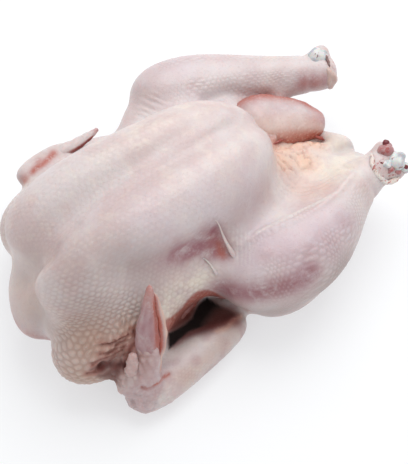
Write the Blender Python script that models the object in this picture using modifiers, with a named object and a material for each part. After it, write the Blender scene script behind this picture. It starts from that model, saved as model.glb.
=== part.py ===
"""A whole raw chicken lying on its back, breast up and legs apart, as one solid.

The bird is put together as it grows: trunk, breast muscles, thighs, drumsticks and folded wings are each a
loft of oval sections along a path. They are fused, and a skin is stretched over the hollows between them.
Folds and ridges are then pressed into the skin along paths, and the back is flattened where the bird rests.
+X points to the tail, +Y to the bird's left, +Z up. Tables are in millimetres, with the table top at zero.
"""

import math

import bmesh
import bpy
import numpy as np

MM = 0.001

# Sizes that drive the shape, in metres.
VOXEL = 0.0026
REST_CUT = 0.0016
SKIN_PASSES = 80
FAIRING_PASSES = 3
TRIANGLES = 9000

# Sides of a loft's cage, levels of its rounding, and how far past its ends the closing poles stand, in radii.
SIDES = 10
BODY_SIDES = 12
ROUNDING = 2
POLE_REACH = 0.55

# Share of the sideways pull that the stretching skin follows.
SLIDE = 0.3

# Low and high corners, in millimetres, of the room round the folded right wing and round its raised hand.
# Inside them the skin spans hollows less, by the tightness, which fades out over the edge.
TIGHT_BOXES = [
    ((-128, -200, -20), (6, -46, 44)),
    ((-101, -200, 28), (-46, -60, 120)),
]
TIGHT_EDGE = 10.0
TIGHTNESS = 0.85

# Each row of a loft is one oval section: x, y, z of its middle, then its half width and half height.
TRUNK = [
    (-108, 0, 46, 40, 30),
    (-90, 0, 47, 56, 41),
    (-60, 0, 47, 65, 46),
    (-20, 0, 47, 66, 47),
    (25, 0, 44, 62, 44),
    (62, 0, 36, 54, 32),
    (94, 0, 33, 42, 23),
    (114, -2, 33, 25, 14),
]
LEFT_BREAST = [
    (-106, 19, 66, 18, 22),
    (-94, 22, 72, 26, 33),
    (-58, 22.5, 77, 29, 39),
    (-10, 18, 80, 26, 38.5),
    (28, 18, 80, 27, 34),
    (52, 11, 79, 19, 25),
    (64, 5, 79, 10, 14),
]
RIGHT_BREAST = [
    (-112, -21, 68, 20, 24),
    (-98, -24, 72, 28, 34),
    (-58, -25, 77, 31, 40),
    (-10, -23, 80, 31, 40),
    (28, -18, 80, 27, 34),
    (52, -11, 79, 19, 25),
    (64, -5, 79, 10, 14),
]
LEFT_SHOULDER = [
    (-104, 36, 36, 19, 19),
    (-93, 40, 38, 27, 26),
    (-72, 43, 41, 29, 28),
    (-50, 44, 44, 24, 24),
]
RIGHT_SHOULDER = [
    (-119, -45, 27, 21.5, 20.5),
    (-104, -50.5, 34, 26, 25.5),
    (-76, -50, 38, 27, 29),
    (-48, -46, 44, 25, 27),
]
LIP = [
    (-86, -66, 26, 9, 8),
    (-68, -66, 25, 6, 4),
    (-49, -61, 25, 5, 3),
    (-29, -55, 28, 5, 3),
    (-14, -54, 30, 6, 4),
    (-2, -64, 28, 9, 8),
]
NECK = [
    (-70, 0, 46, 40, 34),
    (-98, -6, 41, 38, 32),
    (-116, -12, 35, 30, 26),
    (-128, -14, 32, 17, 16),
]
LEFT_FLANK = [
    (48, 30, 46, 18, 16),
    (72, 34, 44, 17, 14),
    (99, 24, 41, 15, 12),
    (112, 10, 39, 12, 10),
]
LEFT_LOBE = [
    (54, 34, 50, 19, 15),
    (78, 25.5, 49, 21.5, 15.5),
    (91, 18, 49, 21, 15.5),
    (104, 10.5, 47.5, 18.5, 14),
    (114, 3.5, 45.5, 13.5, 11),
    (121, -4.5, 43, 7.5, 7.5),
]
RIGHT_FLANK = [
    (48, -26, 44, 22, 18),
    (74, -29, 42, 22, 17),
    (100, -31, 38, 17, 13),
    (122, -34, 37, 10, 8),
    (130, -40, 41, 6, 5),
]
TAIL = [
    (92, -6, 32, 26, 20),
    (112, -15, 33, 18, 15),
    (124, -21, 34, 13, 12),
    (130, -25, 35, 9.5, 9),
]
RIGHT_THIGH = [
    (82, -46, 28, 24, 24),
    (60, -60, 27, 32, 26),
    (36, -71, 27, 35, 26),
    (10, -71, 29, 29, 27),
]
RIGHT_DRUMSTICK = [
    (-5, -66, 45, 18, 18),
    (10, -71, 45, 27, 27),
    (40, -76, 44, 34, 31),
    (70, -73, 45, 27, 26),
    (98, -60, 50, 17, 17),
    (122, -55, 51, 12.5, 12.5),
    (134, -54, 51, 12.5, 12.5),
    (141, -54, 52, 12, 12),
]
RIGHT_HOCK_INNER = [
    (128, -48, 54, 5, 5),
    (137, -47, 58, 6, 6),
    (141, -46, 60, 4.5, 4.5),
]
RIGHT_HOCK_OUTER = [
    (130, -60, 49, 8, 8),
    (140, -62, 51, 9, 8),
    (144, -63, 52, 5.5, 5.5),
]
LEFT_THIGH = [
    (66, 28, 34, 28, 26),
    (44, 50, 36, 33, 28),
    (29, 67, 40, 28, 27),
    (25, 76, 44, 20, 21),
]
LEFT_SIDE = [
    (36, 79, 43, 18, 18),
    (18, 73.5, 44, 14, 15),
    (6, 62.5, 46, 13, 15),
    (-8, 50, 48, 12, 14),
]
LEFT_DRUMSTICK = [
    (25, 76, 45, 18, 21),
    (34, 80, 46, 27, 27),
    (62, 73, 47, 28, 27),
    (95, 58, 48, 20, 20),
    (122, 44, 50, 14.5, 15),
    (141, 35, 50, 13.5, 13),
    (152, 30, 50.5, 14, 12),
]
LEFT_HOCK = [
    (142, 42, 54, 6, 6),
    (151, 42, 58, 7, 7),
    (156, 42, 60, 5, 5),
]
RIGHT_UPPER_WING = [
    (-86, -58, 30, 20, 19),
    (-68, -62, 18, 14, 12),
    (-44, -66, 10, 16, 8),
    (-20, -69, 10, 18, 8),
    (-2, -74, 11, 13, 8),
]
RIGHT_FOREARM = [
    (-4, -80, 12, 9, 9),
    (-17, -84, 12.5, 12, 10.5),
    (-50, -88, 14, 14, 13),
    (-75, -92, 14, 14.5, 12.5),
    (-95, -89.5, 14.5, 14.5, 13),
]
RIGHT_HAND = [
    (-92, -90, 16, 12, 10),
    (-82, -89, 33, 9, 7),
    (-74.5, -79, 53.5, 10, 5),
    (-68, -71, 72, 7.0, 4.6),
    (-62.4, -62.6, 86, 4.6, 4.2),
]
RIGHT_THUMB = [
    (-97, -86, 22, 8, 7),
    (-94, -80, 34, 6, 5.5),
    (-89.5, -76, 44, 4.5, 4.5),
]
LEFT_FOREARM = [
    (15, 68, 20, 10, 10),
    (-10, 74, 28, 14, 12),
    (-46, 78, 38, 13, 11),
    (-72, 76, 46, 11, 10),
]
LEFT_UPPER_WING = [
    (-78, 48, 44, 20, 18),
    (-50, 58, 34, 17, 15),
    (-15, 66, 24, 14, 12),
    (12, 68, 19, 11, 10),
]
LEFT_HAND = [
    (-76, 76, 46, 11, 8),
    (-56, 80, 47, 10, 7),
    (-38, 80, 49.5, 7, 5.8),
    (-24, 80, 53, 5.2, 5),
    (-14.5, 80, 56.5, 4.4, 4.4),
]

# The flat side of the raised right hand looks this way.
HAND_FACE = (0.42, 0.61, -0.67)

# Folds in the skin: points along each, then how deep it goes, or how high where negative, and its half width.
FOLDS = [
    # valley between the right breast and the side
    ([(-66, -50, 95), (-30, -54, 84), (-4, -54, 75)], 8.0, 13.0),
    # pit where the thigh skin meets the breast
    ([(-9, -52, 79), (0, -55, 72)], 8.0, 7.0),
    # notch at the front of the keel
    ([(-103, -9, 98), (-112, -5, 84), (-119, 0, 66)], 5.0, 9.0),
    # hollow between the neck skin and the right shoulder
    ([(-119, -18, 66), (-126, -28, 40), (-126, -34, 20)], 4.0, 8.0),
    # slit into the belly
    ([(72, -8, 67), (83, -5, 61), (97, -4, 56), (109, -6, 50), (114, -11, 44)], 6.0, 4.6),
    # crease between the left flank and the left leg
    ([(58, 50, 64), (74, 49, 60), (88, 43, 55), (98, 37, 49)], 5.0, 5.0),
    # raised seam between the right drumstick and the belly
    ([(9, -59, 69), (28, -61, 71), (46, -65, 72), (68, -66, 70), (84, -63, 68), (107, -55, 65)], -1.4, 2.4),
    # edge of the keel under the skin
    ([(-72, -8, 107), (-22, -1, 110), (11, 3, 110), (44, 8, 106)], -1.6, 5.0),
    # fold along the right hand and round its wrist
    ([(-64, -74, 62), (-68, -84, 49), (-75, -92, 36)], 1.8, 2.6),
    ([(-88, -94, 31), (-79, -103, 24)], 2.5, 3.0),
    # crease down the tail
    ([(115, -27, 46), (123, -27, 43), (131, -26, 39)], 2.0, 3.4),
]


def loft_cage(rows, around, up):
    """Rings of oval sections square to the path through the rows, closed by a pole beyond each end."""
    table = np.array(rows, float) * MM
    middles = table[:, :3]
    along = np.gradient(middles, axis=0)
    along /= np.linalg.norm(along, axis=1, keepdims=True)
    side = np.cross(np.array(up), along)
    side /= np.linalg.norm(side, axis=1, keepdims=True)
    rise = np.cross(along, side)
    turn = np.linspace(0.0, 2.0 * math.pi, around, endpoint=False)
    swell = 6.0 / (4.0 + 2.0 * math.cos(2.0 * math.pi / around))
    wide = table[:, 3, None, None] * swell * np.cos(turn)[None, :, None]
    high = table[:, 4, None, None] * swell * np.sin(turn)[None, :, None]
    rings = middles[:, None] + wide * side[:, None] + high * rise[:, None]
    reach = POLE_REACH * table[:, 3:].mean(axis=1)
    poles = (middles[0] - along[0] * reach[0], middles[-1] + along[-1] * reach[-1])
    return rings, poles


def loft_mesh(name, rows, around=SIDES, up=(0.0, 0.0, 1.0)):
    """A loft as a coarse cage that subdivision rounds."""
    rings, poles = loft_cage(rows, around, up)
    count = len(rings)
    points = [tuple(p) for p in rings.reshape(-1, 3)] + [tuple(p) for p in poles]
    first, last = count * around, count * around + 1
    faces = []
    for k in range(around):
        after = (k + 1) % around
        faces.append((first, after, k))
        faces.append((last, (count - 1) * around + k, (count - 1) * around + after))
        for r in range(count - 1):
            low = r * around
            faces.append((low + k, low + after, low + around + after, low + around + k))
    mesh = bpy.data.meshes.new(name)
    mesh.from_pydata(points, [], faces)
    bm = bmesh.new()
    bm.from_mesh(mesh)
    bmesh.ops.recalc_face_normals(bm, faces=bm.faces)
    bm.to_mesh(mesh)
    bm.free()
    obj = bpy.data.objects.new(name, mesh)
    bpy.context.scene.collection.objects.link(obj)
    smooth = obj.modifiers.new("round", "SUBSURF")
    smooth.levels = smooth.render_levels = ROUNDING
    return obj


def pieces():
    """Every muscle and limb as its own loft."""
    return [
        loft_mesh("trunk", TRUNK, BODY_SIDES),
        loft_mesh("breast_l", LEFT_BREAST, BODY_SIDES),
        loft_mesh("breast_r", RIGHT_BREAST, BODY_SIDES),
        loft_mesh("shoulder_l", LEFT_SHOULDER),
        loft_mesh("shoulder_r", RIGHT_SHOULDER),
        loft_mesh("lip", LIP),
        loft_mesh("neck", NECK),
        loft_mesh("flank_l", LEFT_FLANK),
        loft_mesh("lobe_l", LEFT_LOBE),
        loft_mesh("flank_r", RIGHT_FLANK),
        loft_mesh("tail", TAIL),
        loft_mesh("thigh_r", RIGHT_THIGH),
        loft_mesh("drum_r", RIGHT_DRUMSTICK),
        loft_mesh("hock_r_inner", RIGHT_HOCK_INNER),
        loft_mesh("hock_r_outer", RIGHT_HOCK_OUTER),
        loft_mesh("thigh_l", LEFT_THIGH),
        loft_mesh("side_l", LEFT_SIDE),
        loft_mesh("drum_l", LEFT_DRUMSTICK),
        loft_mesh("hock_l", LEFT_HOCK),
        loft_mesh("upper_r", RIGHT_UPPER_WING),
        loft_mesh("fore_r", RIGHT_FOREARM),
        loft_mesh("hand_r", RIGHT_HAND, up=HAND_FACE),
        loft_mesh("thumb_r", RIGHT_THUMB, up=HAND_FACE),
        loft_mesh("upper_l", LEFT_UPPER_WING),
        loft_mesh("fore_l", LEFT_FOREARM),
        loft_mesh("hand_l", LEFT_HAND),
    ]


def fused(objects, voxel):
    """One closed surface round all the lofts, as vertices and four-sided faces."""
    bpy.context.view_layer.update()
    graph = bpy.context.evaluated_depsgraph_get()
    bm = bmesh.new()
    for obj in objects:
        evaluated = obj.evaluated_get(graph)
        bm.from_mesh(evaluated.to_mesh())
        evaluated.to_mesh_clear()
    mesh = bpy.data.meshes.new("fused")
    bm.to_mesh(mesh)
    bm.free()
    for obj in objects:
        bpy.data.objects.remove(obj)
    whole = bpy.data.objects.new("fused", mesh)
    bpy.context.scene.collection.objects.link(whole)
    remesh = whole.modifiers.new("fuse", "REMESH")
    remesh.mode = "VOXEL"
    remesh.voxel_size = voxel
    bpy.context.view_layer.update()
    graph = bpy.context.evaluated_depsgraph_get()
    result = whole.evaluated_get(graph).to_mesh()
    points = np.empty(len(result.vertices) * 3)
    result.vertices.foreach_get("co", points)
    faces = np.empty(len(result.polygons) * 4, dtype=np.int64)
    result.polygons.foreach_get("vertices", faces)
    bpy.data.objects.remove(whole)
    return points.reshape(-1, 3), faces.reshape(-1, 4)


def edges_of(faces):
    """Each edge of the surface once."""
    pairs = np.concatenate([faces[:, [0, 1]], faces[:, [1, 2]], faces[:, [2, 3]], faces[:, [3, 0]]])
    return np.unique(np.sort(pairs, axis=1), axis=0)


def mean_of_neighbours(points, edges, degree):
    total = np.empty_like(points)
    for axis in range(3):
        total[:, axis] = np.bincount(edges[:, 0], points[edges[:, 1], axis], len(points))
        total[:, axis] += np.bincount(edges[:, 1], points[edges[:, 0], axis], len(points))
    return total / degree


def normals_of(points, faces):
    """Unit normals at the vertices, from the diagonals of the faces round them."""
    across = np.cross(points[faces[:, 2]] - points[faces[:, 0]], points[faces[:, 3]] - points[faces[:, 1]])
    total = np.empty_like(points)
    for axis in range(3):
        spread = np.repeat(across[:, axis], 4)
        total[:, axis] = np.bincount(faces.reshape(-1), spread, len(points))
    return total / np.maximum(np.linalg.norm(total, axis=1, keepdims=True), 1e-12)


def stretched(points, faces, edges, passes, weight):
    """Skin pulled taut: each vertex in a hollow moves out to the mean of its neighbours, none moves in."""
    degree = np.bincount(edges.reshape(-1), minlength=len(points))[:, None].astype(float)
    for step in range(passes):
        if step % 4 == 0:
            normal = normals_of(points, faces)
        pull = mean_of_neighbours(points, edges, degree) - points
        outward = (pull * normal).sum(axis=1, keepdims=True)
        sideways = pull - outward * normal
        points = points + weight * (np.maximum(outward, 0.0) * normal + SLIDE * sideways)
    return points


def faired(points, edges, passes):
    """Plain smoothing that takes out the steps of the fused grid and gives back the lost volume."""
    degree = np.bincount(edges.reshape(-1), minlength=len(points))[:, None].astype(float)
    for _ in range(passes):
        points = points + 0.5 * (mean_of_neighbours(points, edges, degree) - points)
        points = points - 0.5 * (mean_of_neighbours(points, edges, degree) - points)
    return points


def slack(points):
    """How freely the skin spans a hollow: fully on the body, hardly at all round the folded right wing."""
    held = np.zeros(len(points))
    for low, high in TIGHT_BOXES:
        inside = np.ones(len(points))
        for axis in range(3):
            value = points[:, axis] / MM
            inside *= np.clip((value - low[axis]) / TIGHT_EDGE, 0.0, 1.0)
            inside *= np.clip((high[axis] - value) / TIGHT_EDGE, 0.0, 1.0)
        held = np.maximum(held, inside)
    return (1.0 - TIGHTNESS * held)[:, None]


def distance_to_path(points, path):
    """Distance of each point from a path of straight stretches."""
    nearest = np.full(len(points), np.inf)
    for start, end in zip(path[:-1], path[1:]):
        span = end - start
        share = np.clip(((points - start) @ span) / (span @ span), 0.0, 1.0)
        nearest = np.minimum(nearest, np.linalg.norm(points - start - share[:, None] * span, axis=1))
    return nearest


def folded(points, faces):
    """Each fold lies on the skin along its path and sinks, or rises, by a bell-shaped section."""
    normal = normals_of(points, faces)
    sunk = np.zeros(len(points))
    for path, depth, width in FOLDS:
        laid = []
        for spot in np.array(path, float) * MM:
            laid.append(points[np.argmin(((points - spot) ** 2).sum(axis=1))])
        away = distance_to_path(points, laid)
        sunk += depth * MM * np.exp(-(away / (width * MM)) ** 2)
    return points - sunk[:, None] * normal


def skin():
    """The finished surface before it is thinned out to flat triangles."""
    points, faces = fused(pieces(), VOXEL)
    edges = edges_of(faces)
    points = faired(points, edges, FAIRING_PASSES)
    points = stretched(points, faces, edges, SKIN_PASSES, slack(points))
    points = folded(points, faces)
    return points, faces


def thinned(points, faces, triangles):
    """The same surface with as few triangles as asked for, smaller where it bends more."""
    mesh = bpy.data.meshes.new("dense")
    mesh.from_pydata(points.tolist(), [], faces.tolist())
    dense = bpy.data.objects.new("dense", mesh)
    bpy.context.scene.collection.objects.link(dense)
    decimate = dense.modifiers.new("thin", "DECIMATE")
    decimate.ratio = triangles / (2.0 * len(faces))
    decimate.use_collapse_triangulate = True
    bpy.context.view_layer.update()
    graph = bpy.context.evaluated_depsgraph_get()
    bm = bmesh.new()
    evaluated = dense.evaluated_get(graph)
    bm.from_mesh(evaluated.to_mesh())
    evaluated.to_mesh_clear()
    bpy.data.objects.remove(dense)
    return bm


def rest_flat(bm, height):
    """The underside cut off level where the bird touches the table."""
    low = min(v.co.z for v in bm.verts) + height
    around = list(bm.verts) + list(bm.edges) + list(bm.faces)
    table_top = (0.0, 0.0, low)
    bmesh.ops.bisect_plane(bm, geom=around, plane_co=table_top, plane_no=(0.0, 0.0, -1.0), clear_outer=True)
    open_edges = [e for e in bm.edges if e.is_boundary]
    bmesh.ops.holes_fill(bm, edges=open_edges, sides=0)
    bmesh.ops.triangulate(bm, faces=[f for f in bm.faces if len(f.verts) > 3])
    bmesh.ops.dissolve_degenerate(bm, edges=bm.edges, dist=0.00005)
    bmesh.ops.recalc_face_normals(bm, faces=bm.faces)


def centred(bm):
    """The middle of the box round the bird stands over the origin, and the rest face on it."""
    corners = np.array([v.co[:] for v in bm.verts])
    low, high = corners.min(axis=0), corners.max(axis=0)
    shift = (-(low[0] + high[0]) / 2.0, -(low[1] + high[1]) / 2.0, -low[2])
    bmesh.ops.translate(bm, verts=bm.verts, vec=shift)


def skin_material():
    """Moist raw skin, pale pinkish cream."""
    material = bpy.data.materials.new("skin")
    material.use_nodes = True
    shader = material.node_tree.nodes["Principled BSDF"]
    shader.inputs["Base Color"].default_value = (0.66, 0.50, 0.45, 1.0)
    shader.inputs["Roughness"].default_value = 0.45
    shader.inputs["Metallic"].default_value = 0.0
    return material


def main():
    for obj in list(bpy.data.objects):
        bpy.data.objects.remove(obj)
    points, faces = skin()
    bm = thinned(points, faces, TRIANGLES)
    rest_flat(bm, REST_CUT)
    centred(bm)
    mesh = bpy.data.meshes.new("chicken")
    bm.to_mesh(mesh)
    bm.free()
    mesh.shade_smooth()
    mesh.materials.append(skin_material())
    home = bpy.data.collections.new("whole_raw_chicken")
    bpy.context.scene.collection.children.link(home)
    home.objects.link(bpy.data.objects.new("chicken", mesh))


if __name__ == "__main__":
    main()
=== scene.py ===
"""The looks of a whole raw chicken lying on its back.

The skin is made as the solid is: oval lofts for the trunk and each limb are fused, a skin is stretched over the
hollows, and folds are laid in it. Here it is then made finer, and gets its wrinkles, its feather follicles and
its colours. Tables are in millimetres, +X to the tail, +Y to the bird's left, +Z up from the table top.
"""

import math

import bpy
import numpy as np
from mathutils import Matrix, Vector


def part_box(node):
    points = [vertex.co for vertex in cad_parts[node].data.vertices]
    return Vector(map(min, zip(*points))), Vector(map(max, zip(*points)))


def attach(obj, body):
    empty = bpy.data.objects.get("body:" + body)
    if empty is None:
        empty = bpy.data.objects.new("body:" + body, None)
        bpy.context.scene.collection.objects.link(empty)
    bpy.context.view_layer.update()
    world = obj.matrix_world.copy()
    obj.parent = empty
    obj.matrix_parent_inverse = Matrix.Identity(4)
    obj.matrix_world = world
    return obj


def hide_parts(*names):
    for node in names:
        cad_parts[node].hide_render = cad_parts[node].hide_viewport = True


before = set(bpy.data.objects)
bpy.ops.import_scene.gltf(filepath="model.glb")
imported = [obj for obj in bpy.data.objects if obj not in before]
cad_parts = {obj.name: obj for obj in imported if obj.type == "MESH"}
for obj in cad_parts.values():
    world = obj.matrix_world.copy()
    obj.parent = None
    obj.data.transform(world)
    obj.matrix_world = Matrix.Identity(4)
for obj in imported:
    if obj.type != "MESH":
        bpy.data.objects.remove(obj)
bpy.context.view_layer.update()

MM = 0.001
TURN = 2 * math.pi
UP = (0, 0, 1)

# Sizes of the fused and stretched skin, as in the solid.
VOXEL = 0.003
SKIN_PASSES = 60
FAIRING_PASSES = 3
SIDES = 10
BODY_SIDES = 12
ROUNDING = 2
POLE_REACH = 0.55
SLIDE = 0.3
TIGHT_BOXES = [((-128, -200, -20), (6, -46, 44)), ((-101, -200, 28), (-46, -60, 120))]
TIGHT_EDGE = 10
TIGHTNESS = 0.85
HOLLOW = [(-6, -44, 72, 18), (-14, -44, 82, 15), (0, -48, 64, 14)]
HOLLOW_PASSES = 220

# The flat side of the raised right hand looks this way.
HAND_FACE = (0.42, 0.61, -0.67)
RIGHT_HAND = [
    (-92, -90, 16, 12, 10), (-82, -89, 33, 9, 7), (-74.5, -79, 53.5, 10, 5), (-68, -71, 72, 7, 4.6),
    (-62.4, -62.6, 86, 4.6, 4.2),
]

# Each row of a loft is one oval section: x, y, z of its middle, then its half width and half height.
LOFTS = {
    "trunk": [
        (-108, 0, 46, 40, 30), (-90, 0, 47, 56, 41), (-60, 0, 47, 65, 46), (-20, 0, 47, 66, 47), (25, 0, 44, 62, 44),
        (62, 0, 36, 54, 32), (94, 0, 33, 42, 23), (114, -2, 33, 25, 14),
    ],
    "breast_l": [
        (-106, 19, 66, 18, 22), (-94, 22, 72, 26, 33), (-58, 22.5, 77, 29, 39), (-10, 18, 80, 26, 38.5),
        (28, 18, 80, 27, 34), (52, 11, 79, 19, 25), (64, 5, 79, 10, 14),
    ],
    "breast_r": [
        (-112, -21, 68, 20, 24), (-98, -24, 72, 28, 34), (-58, -25, 77, 31, 40), (-10, -23, 80, 31, 40),
        (28, -18, 80, 27, 34), (52, -11, 79, 19, 25), (64, -5, 79, 10, 14),
    ],
    "shoulder_l": [(-104, 36, 36, 19, 19), (-93, 40, 38, 27, 26), (-72, 43, 41, 29, 28), (-50, 44, 44, 24, 24)],
    "shoulder_r": [
        (-119, -45, 27, 21.5, 20.5), (-104, -50.5, 34, 26, 25.5), (-76, -50, 38, 27, 29), (-48, -46, 44, 25, 27),
    ],
    "lip": [
        (-86, -66, 26, 9, 8), (-68, -66, 25, 6, 4), (-49, -61, 25, 5, 3), (-29, -55, 28, 5, 3), (-14, -54, 30, 6, 4),
        (-2, -64, 28, 9, 8),
    ],
    "neck": [(-70, 0, 46, 40, 34), (-98, -6, 41, 38, 32), (-116, -12, 35, 30, 26), (-128, -14, 32, 17, 16)],
    "flank_l": [(48, 30, 46, 18, 16), (72, 34, 44, 17, 14), (99, 24, 41, 15, 12), (112, 10, 39, 12, 10)],
    "flank_r": [
        (48, -26, 44, 22, 18), (74, -29, 42, 22, 17), (100, -31, 38, 17, 13), (122, -34, 37, 10, 8),
        (130, -40, 41, 6, 5),
    ],
    "tail": [(92, -6, 32, 26, 20), (112, -15, 33, 18, 15), (124, -21, 34, 13, 12), (130, -25, 35, 9.5, 9)],
    "thigh_r": [(82, -46, 28, 24, 24), (60, -60, 27, 32, 26), (36, -71, 27, 35, 26), (10, -71, 29, 29, 27)],
    "drum_r": [
        (-5, -66, 45, 18, 18), (10, -71, 45, 27, 27), (40, -76, 44, 34, 31), (70, -73, 45, 27, 26),
        (98, -60, 50, 17, 17), (122, -55, 51, 12.5, 12.5), (134, -54, 51, 12.5, 12.5), (141, -54, 52, 12, 12),
    ],
    "hock_r_inner": [(128, -48, 54, 5, 5), (137, -47, 58, 6, 6), (141, -46, 60, 4.5, 4.5)],
    "hock_r_outer": [(130, -60, 49, 8, 8), (140, -62, 51, 9, 8), (144, -63, 52, 5.5, 5.5)],
    "thigh_l": [(66, 28, 34, 28, 26), (44, 50, 36, 33, 28), (29, 67, 40, 28, 27), (25, 76, 44, 20, 21)],
    "side_l": [(36, 79, 43, 18, 18), (18, 73.5, 44, 14, 15), (6, 62.5, 46, 13, 15), (-8, 50, 48, 12, 14)],
    "drum_l": [
        (25, 76, 45, 18, 21), (34, 80, 46, 27, 27), (62, 73, 47, 28, 27), (95, 58, 48, 20, 20),
        (122, 44, 50, 14.5, 15), (141, 35, 50, 13.5, 13), (152, 30, 50.5, 14, 12),
    ],
    "hock_l": [(142, 42, 54, 6, 6), (151, 42, 58, 7, 7), (156, 42, 60, 5, 5)],
    "upper_r": [
        (-86, -58, 30, 20, 19), (-68, -62, 18, 14, 12), (-44, -66, 10, 16, 8), (-20, -69, 10, 18, 8),
        (-2, -74, 11, 13, 8),
    ],
    "fore_r": [
        (-4, -80, 12, 9, 9), (-17, -84, 12.5, 12, 10.5), (-50, -88, 14, 14, 13), (-75, -92, 14, 14.5, 12.5),
        (-95, -89.5, 14.5, 14.5, 13),
    ],
    "hand_r": RIGHT_HAND[:3],
    "thumb_r": [(-97, -86, 22, 8, 7), (-94, -80, 34, 6, 5.5), (-89.5, -76, 44, 4.5, 4.5)],
    "upper_l": [(-78, 48, 44, 20, 18), (-50, 58, 34, 17, 15), (-15, 66, 24, 14, 12), (12, 68, 19, 11, 10)],
    "fore_l": [(15, 68, 20, 10, 10), (-10, 74, 28, 14, 12), (-46, 78, 38, 13, 11), (-72, 76, 46, 11, 10)],
    "hand_l": [(-76, 76, 46, 11, 8), (-56, 80, 47, 10, 7), (-38, 80, 49.5, 7, 5.8)],
    # skin that joins the folded wing to the back, low down between the forearm and the breast, where it fills the
    # bottom of the gap and carries the gap's painted black shadow
    "web_r": [
        (-72, -74, 6, 9, 5), (-54, -70, 5, 11, 4), (-36, -66, 5, 14, 4), (-20, -62, 5, 15, 4), (-4, -60, 5, 12, 4),
    ],
}
ROUND_LOFTS = ("trunk", "breast_l", "breast_r")
HAND_LOFTS = ("hand_r", "thumb_r")

# Folds in the skin: points along each, then how deep it goes, or how high where negative, and its half width.
FOLDS = [
    # valley between the right breast and the side
    ([(-66, -50, 95), (-30, -54, 84), (-4, -54, 75)], 6.5, 14),
    # pit where the thigh skin meets the breast
    ([(-9, -52, 79), (0, -55, 72)], 2, 9),
    # notch at the front of the keel
    ([(-103, -9, 98), (-112, -5, 84), (-119, 0, 66)], 5, 9),
    # hollow between the neck skin and the right shoulder
    ([(-119, -18, 66), (-126, -28, 40), (-126, -34, 20)], 4, 8),
    # slit into the belly
    ([(72, -8, 67), (83, -5, 61), (97, -4, 56), (109, -6, 50), (114, -11, 44)], 6, 4.6),
    # crease between the left flank and the left leg
    ([(58, 50, 64), (74, 49, 60), (88, 43, 55), (98, 37, 49)], 5, 5),
    # raised seam between the right drumstick and the belly
    ([(9, -59, 69), (28, -61, 71), (46, -65, 72), (68, -66, 70), (84, -63, 68), (107, -55, 65)], -1.4, 2.4),
    # edge of the keel under the skin
    ([(-72, -8, 107), (-22, -1, 110), (11, 3, 110), (44, 8, 106)], -1.6, 5),
    # fold along the right hand and round its wrist
    ([(-64, -74, 62), (-68, -84, 49), (-75, -92, 36)], 1.8, 2.6),
    ([(-88, -94, 31), (-86, -96, 28)], 0.6, 3),
    # crease down the tail
    ([(115, -27, 46), (123, -27, 43), (131, -26, 39)], 2, 3.4),
]


def grid_faces(rings, around):
    """Four-sided faces between rings of points, and triangles from the first and last ring to the two poles."""
    ring = np.arange(rings - 1)[:, None] * around
    here = np.arange(around)[None, :]
    after = (here + 1) % around
    walls = np.stack([ring + here, ring + after, ring + around + after, ring + around + here], axis=-1)
    first = np.full(around, rings * around)
    last = first + 1
    top = (rings - 1) * around
    near = np.stack([first, after[0], here[0]], axis=-1)
    far = np.stack([last, top + here[0], top + after[0]], axis=-1)
    return walls.reshape(-1, 4).tolist() + near.tolist() + far.tolist()


def frames(middles, up):
    """Unit vectors along a path, to its side and square to both."""
    along = np.gradient(middles, axis=0)
    along /= np.linalg.norm(along, axis=1, keepdims=True)
    side = np.cross(np.array(up), along)
    side /= np.linalg.norm(side, axis=1, keepdims=True)
    return along, side, np.cross(along, side)


def loft_object(name, rows, around, up):
    """Oval sections middle + wide cos(t) side + high sin(t) rise along a path, rounded by subdivision."""
    table = np.array(rows, float) * MM
    middles = table[:, :3]
    along, side, rise = frames(middles, up)
    turn = np.linspace(0, TURN, around, endpoint=False)
    swell = 6 / (4 + 2 * math.cos(TURN / around))
    wide = table[:, 3, None, None] * swell * np.cos(turn)[None, :, None]
    high = table[:, 4, None, None] * swell * np.sin(turn)[None, :, None]
    rings = middles[:, None] + wide * side[:, None] + high * rise[:, None]
    reach = POLE_REACH * table[:, 3:].mean(axis=1)
    poles = np.stack([middles[0] - along[0] * reach[0], middles[-1] + along[-1] * reach[-1]])
    points = np.concatenate([rings.reshape(-1, 3), poles])
    return rounded(mesh_object(name, points, grid_faces(len(rows), around)), ROUNDING)


def mesh_object(name, points, faces):
    """A new object in the scene, from points and faces."""
    mesh = bpy.data.meshes.new(name)
    mesh.from_pydata(points.tolist(), [], faces if isinstance(faces, list) else faces.tolist())
    mesh.update()
    obj = bpy.data.objects.new(name, mesh)
    bpy.context.scene.collection.objects.link(obj)
    return obj


def rounded(obj, levels):
    """The object with a rounding subdivision of its faces."""
    smooth = obj.modifiers.new("round", "SUBSURF")
    smooth.levels = smooth.render_levels = levels
    return obj


def worked_out(objects):
    """Points and four-sided faces of objects with their modifiers worked out, as one mesh; they are then removed."""
    bpy.context.view_layer.update()
    graph = bpy.context.evaluated_depsgraph_get()
    points, faces, count = [], [], 0
    for obj in objects:
        mesh = obj.evaluated_get(graph).to_mesh()
        part = np.empty(len(mesh.vertices) * 3)
        mesh.vertices.foreach_get("co", part)
        corners = np.empty(len(mesh.loops), dtype=np.int64)
        mesh.polygons.foreach_get("vertices", corners)
        points.append(part.reshape(-1, 3))
        faces.append(corners.reshape(-1, 4) + count)
        count += len(mesh.vertices)
    for obj in objects:
        bpy.data.objects.remove(obj)
    return np.concatenate(points), np.concatenate(faces)


def fused_lofts():
    """One closed surface round every muscle and limb, each a loft of its own."""
    lofts = []
    for name, rows in LOFTS.items():
        sides = BODY_SIDES if name in ROUND_LOFTS else SIDES
        lofts.append(loft_object(name, rows, sides, HAND_FACE if name in HAND_LOFTS else UP))
    whole = mesh_object("fused", *worked_out(lofts))
    remesh = whole.modifiers.new("fuse", "REMESH")
    remesh.mode = "VOXEL"
    remesh.voxel_size = VOXEL
    return worked_out([whole])


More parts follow.
